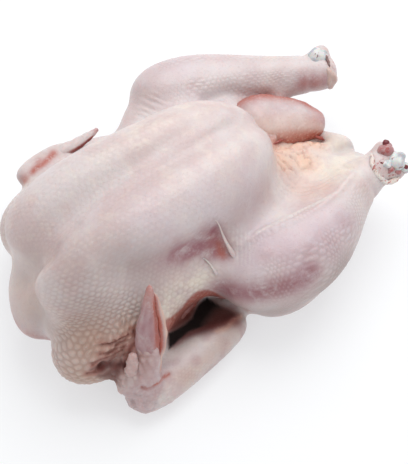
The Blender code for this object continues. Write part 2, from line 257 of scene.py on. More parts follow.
def edges_of(faces):
    """Each edge of the surface once."""
    pairs = np.concatenate([faces[:, [0, 1]], faces[:, [1, 2]], faces[:, [2, 3]], faces[:, [3, 0]]])
    return np.unique(np.sort(pairs, axis=1), axis=0)


def mean_of_neighbours(points, edges, degree):
    """For each vertex, the mean of the vertices that share an edge with it."""
    total = np.empty_like(points)
    for axis in range(points.shape[1]):
        total[:, axis] = np.bincount(edges[:, 0], points[edges[:, 1], axis], len(points))
        total[:, axis] += np.bincount(edges[:, 1], points[edges[:, 0], axis], len(points))
    return total / degree


def degrees(points, edges):
    """How many edges meet at each vertex."""
    return np.bincount(edges.reshape(-1), minlength=len(points))[:, None].astype(float)


def normals_of(points, faces):
    """Unit normals at the vertices, from the diagonals of the faces round them."""
    across = np.cross(points[faces[:, 2]] - points[faces[:, 0]], points[faces[:, 3]] - points[faces[:, 1]])
    total = np.empty_like(points)
    for axis in range(3):
        total[:, axis] = np.bincount(faces.reshape(-1), np.repeat(across[:, axis], 4), len(points))
    return total / np.maximum(np.linalg.norm(total, axis=1, keepdims=True), 1e-12)


def faired(points, edges):
    """Smoothing by the mean of the neighbours, there and back, which takes out the steps of the fused grid."""
    degree = degrees(points, edges)
    for _ in range(FAIRING_PASSES):
        points = points + 0.5 * (mean_of_neighbours(points, edges, degree) - points)
        points = points - 0.5 * (mean_of_neighbours(points, edges, degree) - points)
    return points


def slack(points):
    """How freely the skin spans a hollow: fully on the body, hardly at all round the folded right wing."""
    held = np.zeros(len(points))
    for low, high in TIGHT_BOXES:
        inside = np.ones(len(points))
        for axis in range(3):
            value = points[:, axis] / MM
            inside *= np.clip((value - low[axis]) / TIGHT_EDGE, 0, 1)
            inside *= np.clip((high[axis] - value) / TIGHT_EDGE, 0, 1)
        held = np.maximum(held, inside)
    return (1 - TIGHTNESS * held)[:, None]


def stretched(points, faces, edges):
    """Skin pulled taut: each vertex in a hollow moves out to the mean of its neighbours, none moves in."""
    degree = degrees(points, edges)
    weight = slack(points)
    for step in range(SKIN_PASSES):
        if step % 4 == 0:
            normal = normals_of(points, faces)
        pull = mean_of_neighbours(points, edges, degree) - points
        outward = (pull * normal).sum(axis=1, keepdims=True)
        sideways = pull - outward * normal
        points = points + weight * (np.maximum(outward, 0) * normal + SLIDE * sideways)
    return points


def softened(points, edges):
    """Where the breast runs into the thigh the hollow is smoothed, each vertex moving part way to the mean of its
    neighbours."""
    share = 0.5 * near_spots(points, HOLLOW)[:, None]
    degree = degrees(points, edges)
    for _ in range(HOLLOW_PASSES):
        points = points + share * (mean_of_neighbours(points, edges, degree) - points)
    return points


def bell(distance, width):
    """exp(-(distance / width)^2), with the width in millimetres."""
    return np.exp(-((distance / (width * MM)) ** 2))


def near_path(points, path, width):
    """The bell of the distance to straight stretches that join the skin's vertices nearest to a path's points."""
    path = [points[np.argmin(((points - np.array(spot) * MM) ** 2).sum(axis=1))] for spot in path]
    nearest = np.full(len(points), np.inf)
    for start, end in zip(path[:-1], path[1:]):
        span = end - start
        length = np.linalg.norm(span)
        share = np.clip(((points - start) @ span) / (length * length), 0, 1)
        nearest = np.fmin(nearest, np.linalg.norm(points - start - share[:, None] * span, axis=1))
    return bell(nearest, width)


def near_spots(points, spots):
    """The strongest of several round patches, each x, y, z and its radius."""
    reading = np.zeros(len(points))
    for x, y, z, radius in spots:
        away = np.linalg.norm(points - np.array([x, y, z]) * MM, axis=1)
        reading = np.maximum(reading, bell(away, radius))
    return reading


def smooth_step(value, low, high):
    """0 below low, 1 above high, and 3t^2 - 2t^3 between them."""
    share = np.clip((value - low) / (high - low), 0, 1)
    return share * share * (3 - 2 * share)


def ruffle(points, size, seed):
    """A smooth uneven field between about -1 and 1: the sum of sine waves of lengths round size, in millimetres,
    in seeded random directions."""
    draw = np.random.default_rng(seed)
    ways = draw.normal(size=(16, 3))
    ways /= np.linalg.norm(ways, axis=1, keepdims=True)
    rates = 2 * math.pi / (size * MM * draw.uniform(0.7, 1.6, size=16))
    phases = draw.uniform(0, 2 * math.pi, size=16)
    return np.sin(points @ (ways * rates[:, None]).T + phases).sum(axis=1) / 4


def folded(points, faces):
    """Each fold lies on the skin along its path and sinks, or rises, by a bell-shaped section."""
    sunk = np.zeros(len(points))
    for path, depth, width in FOLDS:
        sunk += depth * MM * near_path(points, path, width)
    return points - sunk[:, None] * normals_of(points, faces)


# Paths on the skin, each a list of x, y, z.
LIP_EDGE = [
    (-72, -72, 34), (-57, -68, 30), (-43, -62, 28), (-30, -57, 30), (-17, -57, 33), (-8, -66, 34), (4, -82, 26),
]
SLIT = [(80, -2, 58), (89, -2, 55), (98, -2, 53), (106, -3, 51), (111, -6, 47), (114, -10, 45)]
CREST = [(23, -59, 72), (41, -60, 71), (58, -61, 69), (73, -62, 69), (84, -63, 69)]
KEEL_LINE = [
    (-96, -6, 96), (-81, -8, 105), (-61, -7, 110), (-37, -4, 112), (-13, -1, 113), (10, 2, 112), (43, 7, 107),
]
VALLEY = [(-40, -47, 83), (-30, -47, 82), (-22, -46, 78), (-15, -46, 73), (-8, -45, 68)]
DIMPLE = [(-4, -43, 71), (-1, -44, 67), (1, -47, 63), (1, -50, 61)]
BAND = [(-13, -71, 49), (-8, -79, 54), (-2, -87, 56), (7, -92, 58), (16, -96, 60), (26, -99, 61), (38, -99, 62)]
UNDER_BAND = [(-8, -78, 38), (6, -88, 34), (20, -100, 35), (34, -104, 38), (50, -103, 42), (64, -98, 46)]
FLANK_EDGE = [(82, 37, 57), (101, 36, 53), (115, 28, 49), (122, 15, 46), (123, 2, 42)]
NECK_EDGE = [(-134, -7, 36), (-131, -20, 34), (-126, -33, 24)]
NECK_RIM = [(-104, -6, 86), (-114, -23, 92), (-119, -29, 83), (-120, -26, 51), (-122, -29, 36)]
FAR_WING_LINE = [(-49, 79, 55), (-55, 77, 54), (-60, 76, 54), (-66, 75, 54), (-69, 74, 53)]
WRIST_CREASE = [(-89, -91, 30), (-87, -94, 29), (-84, -96, 31), (-80, -96, 31), (-74, -94, 28), (-69, -93, 27)]
SHOULDER_FOLD = [(-112, -71, 43), (-105, -73, 46), (-97, -75, 48), (-90, -76, 50)]
SHOULDER_WRINKLES = [
    [(-92, -69, 54), (-87, -70, 55), (-82, -73, 58)],
    [(-104, -68, 52), (-99, -69, 52), (-93, -70, 53), (-88, -71, 54), (-83, -73, 56)],
    [(-111, -68, 47), (-106, -70, 48), (-100, -71, 49), (-94, -72, 50), (-89, -73, 51)],
    [(-100, -64, 56), (-95, -67, 56), (-90, -69, 57), (-84, -71, 59)],
    [(-115, -69, 40), (-110, -71, 42), (-106, -72, 44)],
]
PIT = [(-13, -44, 75), (-9, -43, 71), (-5, -44, 68), (0, -47, 64)]
CLEFT = [(-106, -72, 44), (-103, -74, 42), (-99, -75, 43), (-95, -77, 43), (-93, -79, 42)]
# Dark red skin along the forearm's inner edge by the gap, deepened there as painted shade.
FOREARM_WINE_SHADE = [(-54, -75, 23), (-46, -74, 21), (-39, -75, 21), (-30, -77, 21), (-21, -79, 22), (-12, -80, 22)]
FOREARM_PATCH = [(-59, -82, 25), (-53, -81, 24), (-46, -81, 24), (-40, -81, 24)]
FOREARM_RIM = [(-25, -84, 24), (-18, -85, 23), (-11, -83, 22), (-4, -82, 19)]
CREVICE = [(-80, -71, 61), (-83, -73, 57), (-87, -75, 52), (-89, -77, 48)]

# Outlines seen from the camera side, x and y: the gap beside the folded wing, painted near black as shadow, and the
# painted shade round it, the skin edge over it, the crevice at the wing root, painted with shade, the elbow, red and
# partly painted shade, and the flushed valley, dimple and drawn skin by the thigh.
GAP_OUTLINE = [
    (-49.1, -62.4), (-56.4, -73.4), (-47.8, -71.3), (-38, -69.9), (-26.7, -72.3), (-16.6, -75.5), (-5.2, -77.9),
    (-6.2, -73.5), (-9.5, -67.6), (-12.6, -60), (-13.6, -55.6), (-18.1, -56.2), (-22.1, -57.2), (-26.3, -59.8),
    (-30.9, -63), (-36.4, -63.8), (-44.4, -63.8),
]
GAP_SHADE_OUTLINE = [
    (-46.6, -58.7), (-57.6, -75.3), (-47.9, -73.9), (-36.2, -75.6), (-24.3, -78.4), (-10.8, -81.3), (-2.6, -82.4),
    (-3.5, -75.4), (-11.3, -58.1), (-20, -54),
]
CREVICE_SHADE_OUTLINE = [
    (-104.3, -61), (-95.5, -61.8), (-87.5, -62.8), (-82.4, -61), (-77.7, -59.8), (-83.5, -66.4), (-90.3, -69.7),
    (-96.3, -74.2), (-101.2, -68.3),
]
EDGE_OUTLINE = [
    (-44, -52.3), (-37.9, -52.8), (-31.5, -51.7), (-24.7, -48.9), (-18.3, -46.8), (-13.7, -47.2), (-9.5, -49.6),
    (-6.7, -53.8), (-3.7, -61.5), (-6.5, -63.2), (-10.8, -57.5), (-13.1, -53.6), (-17.4, -53.9), (-21.8, -55.5),
    (-26.9, -59.4), (-33.6, -62.1), (-43.2, -61.9), (-50.2, -61.6),
]
ELBOW_OUTLINE = [
    (-20.1, -68.6), (-13.8, -66.5), (-8, -67.7), (-5.3, -73.2), (-2, -79.1), (-7.1, -82.9), (-15.9, -81.4),
    (-24.5, -77.4), (-26.8, -71.3),
]
VALLEY_OUTLINE = [
    (-20.5, -18.1), (-13, -11.8), (-3.7, -10.4), (3.8, -11.6), (12.7, -10.9), (21.7, -10.2), (23.6, -13.5),
    (21.4, -21.7), (19.7, -30.2), (16.9, -37.9), (11.5, -37.1), (5.1, -31.8), (-2.4, -25.7), (-10.3, -25.1),
    (-16.8, -22.5),
]
DIMPLE_OUTLINE = [(15.5, -21.6), (18.8, -22.9), (18.1, -30.1), (16.6, -35.8), (12, -36.4), (10.4, -31.5)]
FAN_OUTLINE = [(27.9, -18.3), (33.4, -20.2), (38.7, -29.6), (26.1, -49.9), (16.1, -45), (19.8, -36.1)]

# Where the wrinkles of the right wing root run together.
WING_ROOT = (-85, -71, 57)

# Follicles: the x and z about which the cells turn at the neck end and the radius there, how far apart they lie
# along the body, how many go round it, how high they are, the level that stays in place, and where they stand out.
CHART_MIDDLE = (-40, 52)
CHART_RADIUS = 82
BODY_CELL = 4.9
BODY_COUNT = 60
DOME_POWER = 1.3
DOME_HEIGHT = 1.5
DOME_LEVEL = 0.4
SHOULDER_PATCH = [
    (-106, -60, 50, 26), (-92, -68, 60, 19), (-114, -56, 34, 24), (-82, -62, 66, 14), (-98, -68, 40, 16),
]
# For a limb: its loft, cell length, cells round it, strength, and the stretch along it where they fade.
LIMB_CHARTS = [
    ("drum_r", 4.1, 28, 0.15, 96, 118), ("drum_l", 4.1, 28, 0.13, 96, 118), ("fore_r", 3.8, 22, 0.06, 200, 220),
]


def limb_reading(points, rows, up=UP):
    """For each point by the path of a loft: millimetres along it, angle round it, and how far out it lies, where 1 is
    on the loft's surface. Each stretch of the path gives a reading, and they are averaged by 1 / out ** 14."""
    table = np.array(rows, float) * MM
    middles = table[:, :3]
    along, side, rise = frames(middles, up)
    total, travel, across, upward = np.zeros((4, len(points)))
    nearest = np.full(len(points), np.inf)
    passed = 0
    for k in range(len(middles) - 1):
        span = middles[k + 1] - middles[k]
        length = np.linalg.norm(span)
        share = np.clip(((points - middles[k]) @ span) / (length * length), 0, 1)[:, None]
        offset = points - middles[k] - share * span
        wide, high = ((1 - share) * table[k, 3:] + share * table[k + 1, 3:]).T
        a, b, c = (
            (offset * ((1 - share) * way[k] + share * way[k + 1])).sum(axis=1) / size
            for way, size in ((side, wide), (rise, high), (along, 0.5 * (wide + high)))
        )
        out = np.sqrt(a * a + b * b + c * c)
        weight = np.maximum(out, 0.2) ** -14.0
        total += weight
        travel += weight * (passed + share[:, 0] * length) / MM
        across += weight * a / np.maximum(out, 0.01)
        upward += weight * b / np.maximum(out, 0.01)
        nearest = np.minimum(nearest, out)
        passed += length
    return travel / total, np.arctan2(upward, across), nearest


def on_limb(points, rows, up=UP):
    """1 on the surface of a limb's loft, fading to 0 away from it."""
    return belongs(limb_reading(points, rows, up)[2])


def belongs(out):
    """1 near a limb's surface and inside it, and 0 beyond 1.38 times its size."""
    return 1 - smooth_step(out, 1.12, 1.38)


def follicle_chart(points):
    """Cell coordinates of the feather follicles, and how strongly they stand up.
    On the body u goes by the angle from the neck end and then straight to the tail, and v round the body.
    On a limb u goes along it and v round it. Strength falls to nothing where two charts meet."""
    x = points[:, 0] / MM - CHART_MIDDLE[0]
    y = points[:, 1] / MM
    z = points[:, 2] / MM - CHART_MIDDLE[1]
    polar = np.arctan2(np.hypot(y, z), -x)
    u = np.where(x < 0, CHART_RADIUS * polar, CHART_RADIUS * math.pi / 2 + x) / BODY_CELL
    turn = np.arctan2(y, z)
    v = turn / TURN * BODY_COUNT
    bump = 0.045 + 0.72 * near_spots(points, SHOULDER_PATCH)
    bump += 0.14 * near_spots(points, [(-60, -66, 62, 24), (-28, -62, 50, 22), (-104, 52, 50, 40), (-96, -44, 86, 22)])
    bump *= smooth_step(math.pi - np.abs(turn), 0.12, 0.5)
    bump *= smooth_step(polar, 0.25, 0.6)
    bump *= 1 - smooth_step(points[:, 0], 0.045, 0.062)
    for name, cell, around, strength, first, last in LIMB_CHARTS:
        travel, angle, out = limb_reading(points, LOFTS[name])
        on = belongs(out) * smooth_step(travel, 2, 22)
        mine = on > 0.5
        shifted = np.mod(angle + math.pi / 2 + math.pi, TURN) - math.pi
        clear = smooth_step(math.pi - np.abs(shifted), 0.1, 0.5)
        fade = smooth_step(np.abs(2 * on - 1), 0.15, 0.9)
        end = 1 - smooth_step(travel, first, last)
        u = np.where(mine, travel / cell, u)
        v = np.where(mine, shifted / TURN * around, v)
        bump = np.where(mine, strength * (0.35 + 0.65 * end) * clear * fade, bump * np.where(on > 0.02, fade, 1))
    for name in ("thigh_r", "thigh_l", "fore_l"):
        bump = bump * (1 - 0.6 * on_limb(points, LOFTS[name]))
    inner = smooth_step(points[:, 1], -0.0625, -0.056) * smooth_step(points[:, 0], 0.004, 0.02)
    bump = bump * (1 - inner * (1 - smooth_step(points[:, 1], 0.02, 0.034)))
    u = u + 0.45 * ruffle(points, 80, 5) + 0.13 * ruffle(points, 13, 6)
    v = v + 0.25 * ruffle(points, 80, 7) + 0.12 * ruffle(points, 13, 8)
    bump = bump * (1 + 0.35 * ruffle(points, 15, 9))
    return u, v, np.clip(bump, 0, 1)


def domes(u, v):
    """Rounded bumps on a staggered lattice, from 0 between them to 1 at their tops, filling most of each cell."""
    share = 2 * np.cos(TURN * u) * np.cos(TURN * v) + np.cos(2 * TURN * v)
    return np.maximum(1 / 3 + 2 / 9 * share, 0) ** DOME_POWER


def fan_of_wrinkles(points):
    """Rays that run together at the wing root: their wave, from -1 to 1, and where they show."""
    away = points - np.array(WING_ROOT) * MM
    flat = away - (away @ np.array(VIEW_BACK))[:, None] * np.array(VIEW_BACK)
    swing = np.arctan2(flat @ np.array(VIEW_UP), flat @ np.array(VIEW_RIGHT))
    reach = np.linalg.norm(flat, axis=1) / MM
    rays = np.sin(30 * swing + 1.2 * ruffle(points, 26, 21))
    zone = smooth_step(reach, 2, 7) * (1 - smooth_step(reach, 17, 34))
    return rays, zone * near_spots(points, [(-98, -72, 48, 24)])


def fat_cracks(points):
    """Cracks between lumps of fat on the belly, where an uneven field drawn out sideways crosses zero: their depth
    from 0 to 1, and where they show."""
    drawn = points * np.array([0.62, 1, 1.25])
    crossing = ruffle(drawn, 10, 32) + 0.35 * ruffle(drawn, 5, 33)
    zone = [(80, -12, 58, 11), (92, -13, 52, 11), (104, -16, 49, 9), (74, -22, 62, 10), (88, -24, 56, 9)]
    return np.exp(-((crossing / 0.3) ** 2)), near_spots(points, zone)


# Fine ridges and creases: height in millimetres, path and half width.
RELIEF = [
    (-0.9, SHOULDER_FOLD, 1.8), *((-1.5, path, 1.3) for path in SHOULDER_WRINKLES), (-3, CLEFT, 3.2),
    (-1, CREVICE, 2.6), (-0.7, WRIST_CREASE, 1.5), (1.2, PIT, 8), (0.6, CREST, 1.3),
]
# Rings round the legs where the skin is drawn in at the hocks: loft, place along it, wave, depth and half width.
HOCK_RINGS = [("drum_r", 118, 0, 0.8, 3), ("drum_l", 122, 1.5, 0.6, 2.5)]


def wrinkle_relief(points):
    """Heights in metres of the finer folds: rays at the wing root, cracked fat on the belly, fine arcs on the inner
    thigh, creases at the wrist and shoulder and round the hocks, and a fuller dimple beside the drawn skin."""
    rays, zone = fan_of_wrinkles(points)
    relief = 0.7 * MM * rays * zone
    cracks, zone = fat_cracks(points)
    relief += MM * zone * (0.6 - 2.2 * cracks)
    arcs = np.linalg.norm(points - np.array([94, -14, 54]) * MM, axis=1) / MM
    zone = near_spots(points, [(76, -50, 62, 11), (64, -40, 63, 10), (90, -50, 62, 9)])
    relief += 0.38 * MM * zone * np.sin(TURN * arcs / 4.4 + 1.3 * ruffle(points, 15, 34))
    for height, path, width in RELIEF:
        relief += height * MM * near_path(points, path, width)
    relief -= 3 * MM * near_spots(points, [(79, 1, 63, 4), (82, 7, 65, 4), (84, 0, 57, 3)])
    zone = near_spots(points, [(-99, -82, 36, 12), (-96, -94, 22, 14), (-84, -98, 22, 12)])
    relief += 0.8 * MM * zone * (ruffle(points, 7, 35) + 0.7 * ruffle(points, 3.6, 37))
    zone = near_spots(points, [(20, 68, 63, 9), (26, 67, 66, 8)])
    wave = TURN * (points @ np.array([0.72, 0.45, 0.5])) / (4.2 * MM)
    relief += 0.5 * MM * zone * np.sin(wave + ruffle(points, 14, 36))
    for name, place, wave, depth, width in HOCK_RINGS:
        travel, angle, out = limb_reading(points, LOFTS[name])
        relief -= depth * MM * belongs(out) * bell((travel - place + wave * np.sin(3 * angle)) * MM, width)
    return relief


def dressed_skin():
    """The skin in full: folds, wrinkles and follicles, with its charts, and its box before they are added."""
    points, faces = fused_lofts()
    edges = edges_of(faces)
    points = softened(stretched(faired(points, edges), faces, edges), edges)
    low, high = points.min(axis=0), points.max(axis=0)
    points, faces = worked_out([rounded(mesh_object("finer", points, faces), 1)])
    points = folded(points, faces)
    points = points + wrinkle_relief(points)[:, None] * normals_of(points, faces)
    u, v, bump = follicle_chart(points)
    height = DOME_HEIGHT * MM * bump * (domes(u, v) - DOME_LEVEL) * (1 - 0.55 * fan_of_wrinkles(points)[1])
    raised = points + height[:, None] * normals_of(points, faces)
    return points, raised, faces, np.stack([u, v, bump], axis=1), low, high


def seen_inside(points, outline, blur):
    """1 inside a closed outline and 0 outside, blurred at its edge; the outline lies 15 mm above the table and is
    carried along the line of sight. The distance is to its nearest side, the sign by counting crossings."""
    x = points[:, 0] / MM - VIEW_BACK[0] / VIEW_BACK[2] * (points[:, 2] / MM - 15)
    y = points[:, 1] / MM - VIEW_BACK[1] / VIEW_BACK[2] * (points[:, 2] / MM - 15)
    distance = np.full(len(points), np.inf)
    crossed = np.zeros(len(points), bool)
    for (ax, ay), (bx, by) in zip(outline, outline[1:] + outline[:1]):
        share = np.clip(((x - ax) * (bx - ax) + (y - ay) * (by - ay)) / ((bx - ax) ** 2 + (by - ay) ** 2), 0, 1)
        distance = np.minimum(distance, np.hypot(x - ax - share * (bx - ax), y - ay - share * (by - ay)))
        between = (ay > y) != (by > y)
        height = by - ay if by != ay else 1
        crossed ^= between & (x < ax + (bx - ax) * (y - ay) / height)
    return smooth_step(np.where(crossed, distance, -distance), -blur, blur)


# Tints on the skin: how strong, then round patches of x, y, z and radius, or else a path and its half width.
TINTS = {
    "flush": [
        (0.92, BAND, 9), (0.16, KEEL_LINE, 7), (0.35, NECK_EDGE, 9),
        (0.38, [(20, -76, 70, 10), (58, -92, 66, 12), (78, -84, 66, 10), (44, -88, 68, 12)]),
        (0.3, [(30, -82, 70, 16), (56, -86, 66, 16), (20, -46, 88, 14), (30, -44, 82, 12)]),
        (0.35, [(40, 84, 60, 20), (96, 50, 66, 14), (113, 40, 62, 10)]),
        (0.65, [(127, 29, 57, 8), (134, 26, 56, 8), (141, 23, 55, 7)]),
        (0.3, [(-98, -84, 34, 12), (-96, -92, 20, 12)]),
        (0.4, [(-60, 77, 54, 8), (-50, 79, 54, 6), (-76, 77, 50, 6)]),
    ],
    "red": [
        (0.9, SLIT, 2.6), (0.55, LIP_EDGE, 3.4), (0.5, FLANK_EDGE, 5), (0.9, FAR_WING_LINE, 2.8),
        (0.3, DIMPLE, 6), (0.75, CREVICE, 4), *((0.6, path, 2.6) for path in SHOULDER_WRINKLES), (0.3, NECK_EDGE, 4),
        (0.6, [(-76, 73, 51, 3.5), (-61, 79, 54, 3)]),
        (0.8, [(80, 1, 63, 5), (83, 8, 64, 4), (80, -2, 59, 4)]),
        (0.4, [(127, 28, 56, 5), (134, 25, 55, 5)]),
        (0.26, [(128, -62, 60, 6), (122, -60, 61, 5)]),
    ],
    "fat": [
        (0.85, [(80, -9, 59, 11), (92, -10, 53, 11), (104, -13, 49, 10), (72, -20, 63, 11), (88, -24, 56, 12)]),
        (0.55, FOREARM_RIM, 1.8),
        (0.3, [(74, -42, 60, 16), (84, -52, 62, 12)]),
    ],
    "cream": [
        (0.9, [(95, -31, 54, 14), (103, -45, 58, 14), (114, -37, 51, 13), (118, -20, 46, 12)]),
        (0.22, [(14, -24, 115, 22), (35, -22, 110, 18), (-8, -24, 118, 14), (52, -16, 104, 14)]),
        (0.22, [(-6, 22, 118, 20), (26, 26, 112, 22), (-40, 20, 116, 14)]),
        # On the right side above the hanging skin edge the cream tint is painted light.
        (0.9, [(-42, -63, 60, 13), (-26, -61, 60, 12), (-52, -64, 52, 12)]),
    ],
    "cool": [
        (0.9, [
            (24, -67, 72, 18), (35, -79, 73, 20), (53, -82, 72, 22), (70, -82, 69, 18), (9, -72, 69, 14),
            (33, -93, 68, 16),
        ]),
        (0.6, [(-40, -36, 108, 22), (0, -34, 104, 22), (30, -30, 98, 16), (60, 78, 66, 30)]),
    ],
    "warm": [
        (1, [(-104, -58, 56, 27), (-94, -72, 50, 18), (-112, -64, 36, 24), (-82, -66, 58, 16)]),
        (0.5, [(-50, -70, 40, 16), (-30, -64, 36, 14), (-77, 72, 48, 8)]),
        (0.45, [(-124, -10, 60, 28), (-104, -14, 80, 14), (-116, 30, 50, 28)]),
    ],
    "bloody": [(1, [(127, -60, 62, 5), (131, -65, 57, 6), (126, -66, 56, 5), (138, -62, 60, 5), (150, 32, 52, 8)])],
    # Mauve grey painted shade on surfaces turned from the light: under the right drumstick, in the shoulder fold, on
    # the lower breast, at the neck end and under the tail.
    "dusk": [
        (0.75, UNDER_BAND, 13), (0.5, SHOULDER_FOLD, 4.5),
        (0.5, [(-74, -36, 104, 22), (-58, -44, 94, 18), (-92, -30, 100, 22), (-100, -46, 84, 18)]),
        (0.34, [(-112, -4, 80, 12), (-118, -26, 70, 12), (-98, -44, 92, 16), (-118, -28, 52, 12)]),
        (0.32, [(118, -15, 45, 8), (121, -23, 46, 8), (128, -28, 42, 8)]),
    ],
    "wine": [
        (0.62, FOREARM_WINE_SHADE, 4.2), (0.15, BAND, 6.5), (0.55, CLEFT, 4.4),
        (0.35, [(-17, -80, 22, 6), (-10, -81, 21, 5), (-23, -79, 22, 6)]),
    ],
    "pale": [
        # Along the front rim of the right shoulder the pale tint is a painted highlight. On the left thigh and
        # drumstick the pale spots are painted light; on the far wing they are its own paler skin.
        (1, FOREARM_PATCH, 5), (0.95, CREST, 1.5), (0.35, NECK_RIM, 2.2),
        (0.32, [
            (22, 70, 64, 16), (42, 69, 70, 16), (64, 62, 70, 16), (86, 54, 67, 14), (110, 44, 64, 12),
            (-50, 84, 53, 9), (-60, 85, 52, 9), (-70, 84, 51, 8),
        ]),
    ],
}
BLOTCHES = [(30, -86, 66, 30), (66, -84, 62, 30), (96, -72, 62, 24), (90, 52, 60, 30), (40, 72, 62, 30)]
# Creases painted dark as shade: the shoulder fold, its wrinkles and the cleft at the wing root.
CREASE_SHADE_LINES = [(0.8, SHOULDER_FOLD, 1.6), *((0.75, path, 1.1) for path in SHOULDER_WRINKLES), (1, CLEFT, 4.2)]


def layered(points, layers):
    """The strongest of several layers, each a strength times its round patches or its path."""
    reading = np.zeros(len(points))
    for strength, places, *width in layers:
        near = near_path(points, places, *width) if width else near_spots(points, places)
        reading = np.maximum(reading, strength * near)
    return reading


def tones(points):
    """Where each tint lies on the skin, from 0 to 1: the strongest of its layers and of the fields named here."""
    tint = {name: layered(points, layers) for name, layers in TINTS.items()}

    def add(name, reading):
        tint[name] = np.maximum(tint[name], reading)

    def path(line, width):
        return near_path(points, line, width)

    def seen(outline, blur, low=1, high=2):
        return seen_inside(points, outline, blur) * (1 - smooth_step(points[:, 2], low, high))

    rays, fan = fan_of_wrinkles(points)
    cracks, fat_zone = fat_cracks(points)
    above = smooth_step(points[:, 2], 0.05, 0.056)
    drawn = seen(FAN_OUTLINE, 1.2) * above
    flush = seen(VALLEY_OUTLINE, 8) * above * (1 + 0.25 * ruffle(points, 11, 46))
    add("flush", np.clip(np.maximum(0.45 * path(VALLEY, 11), flush) * (1 - 0.9 * drawn), 0, 1))
    add("flush", 0.45 * on_limb(points, RIGHT_HAND, HAND_FACE))
    add("flush", 0.3 * smooth_step(ruffle(points, 24, 44), 0.1, 1.1) * near_spots(points, BLOTCHES))
    fore = on_limb(points, LOFTS["fore_r"])
    add("flush", 0.35 * fore * smooth_step(ruffle(points, 16, 43), -0.2, 0.9))
    add("warm", 0.45 * fore * path([(-60, -100, 24), (-32, -96, 22), (-12, -88, 20)], 8))

    # The gap beside the folded wing is painted near black as shadow, on the skin and on the web low down in it.
    deep = seen(GAP_OUTLINE, 0.9, 0.04, 0.046)
    edge = seen(EDGE_OUTLINE, 1) * (1 - deep)
    elbow = seen(ELBOW_OUTLINE, 4, 0.034, 0.04)
    add("red", 0.8 * seen(DIMPLE_OUTLINE, 3) * above * (1 - drawn))
    add("red", 0.8 * path(WRIST_CREASE, 1.4) * (1 + 0.3 * ruffle(points, 6, 48)))
    add("red", fan * (0.05 + 0.3 * smooth_step(-rays, 0.1, 0.9)))
    add("red", np.maximum(0.4 * fat_zone * cracks, np.maximum(0.65 * elbow, 0.9 * edge)))
    add("wine", 0.16 * edge * (1 + 0.5 * ruffle(points, 8, 47)))
    tint["wine"] = np.clip(tint["wine"], 0, 1)

    # The gap keeps its painted black shadow except at the elbow. Brown painted shade lies round the gap, at the elbow,
    # along the shoulder creases and in the crevice at the wing root.
    tint["deep"] = deep * (1 - 0.8 * elbow)
    tint["gloom"] = np.maximum(seen(GAP_SHADE_OUTLINE, 4.5, 0.034, 0.04), 0.85 * elbow)
    tint["gloom"] *= (1 - 0.85 * path(FOREARM_PATCH, 5.5)) * (1 - 0.9 * path(FOREARM_RIM, 2))
    add("gloom", np.clip(layered(points, CREASE_SHADE_LINES) * (1 + 0.25 * ruffle(points, 9, 41)), 0, 1))
    add("gloom", 0.8 * path(CREVICE, 1.8))
    add("gloom", 0.8 * seen(CREVICE_SHADE_OUTLINE, 3, 0.052, 0.058))
    streaks = np.sin(TURN * (points @ np.array(VIEW_RIGHT)) / (2.6 * MM) + 0.6 * ruffle(points, 12, 45))
    add("pale", 0.55 * seen(FAN_OUTLINE, 3) * above * smooth_step(streaks, -0.2, 0.8))
    return tint


def swept(name, rows, rings, around, up, cap, relief):
    """An oval tube with closed, rounded ends, in millimetres in the table's frame, with s and t at its points.
    point(s, t) = middle(s) + wide(s) k(s) cos(t) side + high(s) k(s) sin(t) rise, each column of the table read by
    a smooth curve through its rows, and k(s) = sqrt(1 - (1 - end distance / cap) ** 2) near both ends."""
    table = np.array(rows, float)
    knots = np.linspace(0, 1, len(table))
    even = np.linspace(0, 1, rings + 2)[1:-1]
    share = 0.5 * (0.5 - 0.5 * np.cos(math.pi * even)) + 0.5 * even
    slopes = np.gradient(table, knots, axis=0)
    cell = np.clip(np.searchsorted(knots, share) - 1, 0, len(table) - 2)
    width = knots[1]
    f = ((share - knots[cell]) / width)[:, None]
    smooth = (2 * f ** 3 - 3 * f ** 2 + 1) * table[cell] + (f ** 3 - 2 * f ** 2 + f) * width * slopes[cell]
    smooth += (3 * f ** 2 - 2 * f ** 3) * table[cell + 1] + (f ** 3 - f ** 2) * width * slopes[cell + 1]
    middles = smooth[:, :3]
    side, rise = frames(middles, up)[1:]
    end = np.minimum(share, 1 - share)
    k = np.sqrt(np.clip(1 - np.clip(1 - end / cap, 0, 1) ** 2, 0, 1))
    turn = np.linspace(0, TURN, around, endpoint=False)
    swell = 1 + relief(share[:, None], turn[None, :])
    wide = (smooth[:, 3] * k)[:, None] * swell * np.cos(turn)
    high = (smooth[:, 4] * k)[:, None] * swell * np.sin(turn)
    body = middles[:, None] + wide[..., None] * side[:, None] + high[..., None] * rise[:, None]
    points = np.concatenate([body.reshape(-1, 3), table[:1, :3], table[-1:, :3]])
    piece = mesh_object(name, points * MM, grid_faces(rings, around))
    return piece, np.append(np.repeat(share, around), [0, 1]), np.append(np.tile(turn, rings), [0, 0])


def tinted(piece, values):
    """Writes tone values on a piece's vertices."""
    for name, value in values.items():
        value = np.broadcast_to(value, len(piece.data.vertices)).astype(np.float32)
        piece.data.attributes.new(name, "FLOAT", "POINT").data.foreach_set("value", np.ascontiguousarray(value))


def placed(piece, shift, material):
    """Moves a piece's mesh from the table's frame to the row's, keeps it above the rest, and lets it ride the bird."""
    mesh = piece.data
    points = np.empty(len(mesh.vertices) * 3)
    mesh.vertices.foreach_get("co", points)
    points = points.reshape(-1, 3) + shift
    points[:, 2] = np.maximum(points[:, 2], 0)
    mesh.vertices.foreach_set("co", points.reshape(-1))
    mesh.shade_smooth()
    mesh.update()
    mesh.materials.append(material)
    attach(piece, "root")


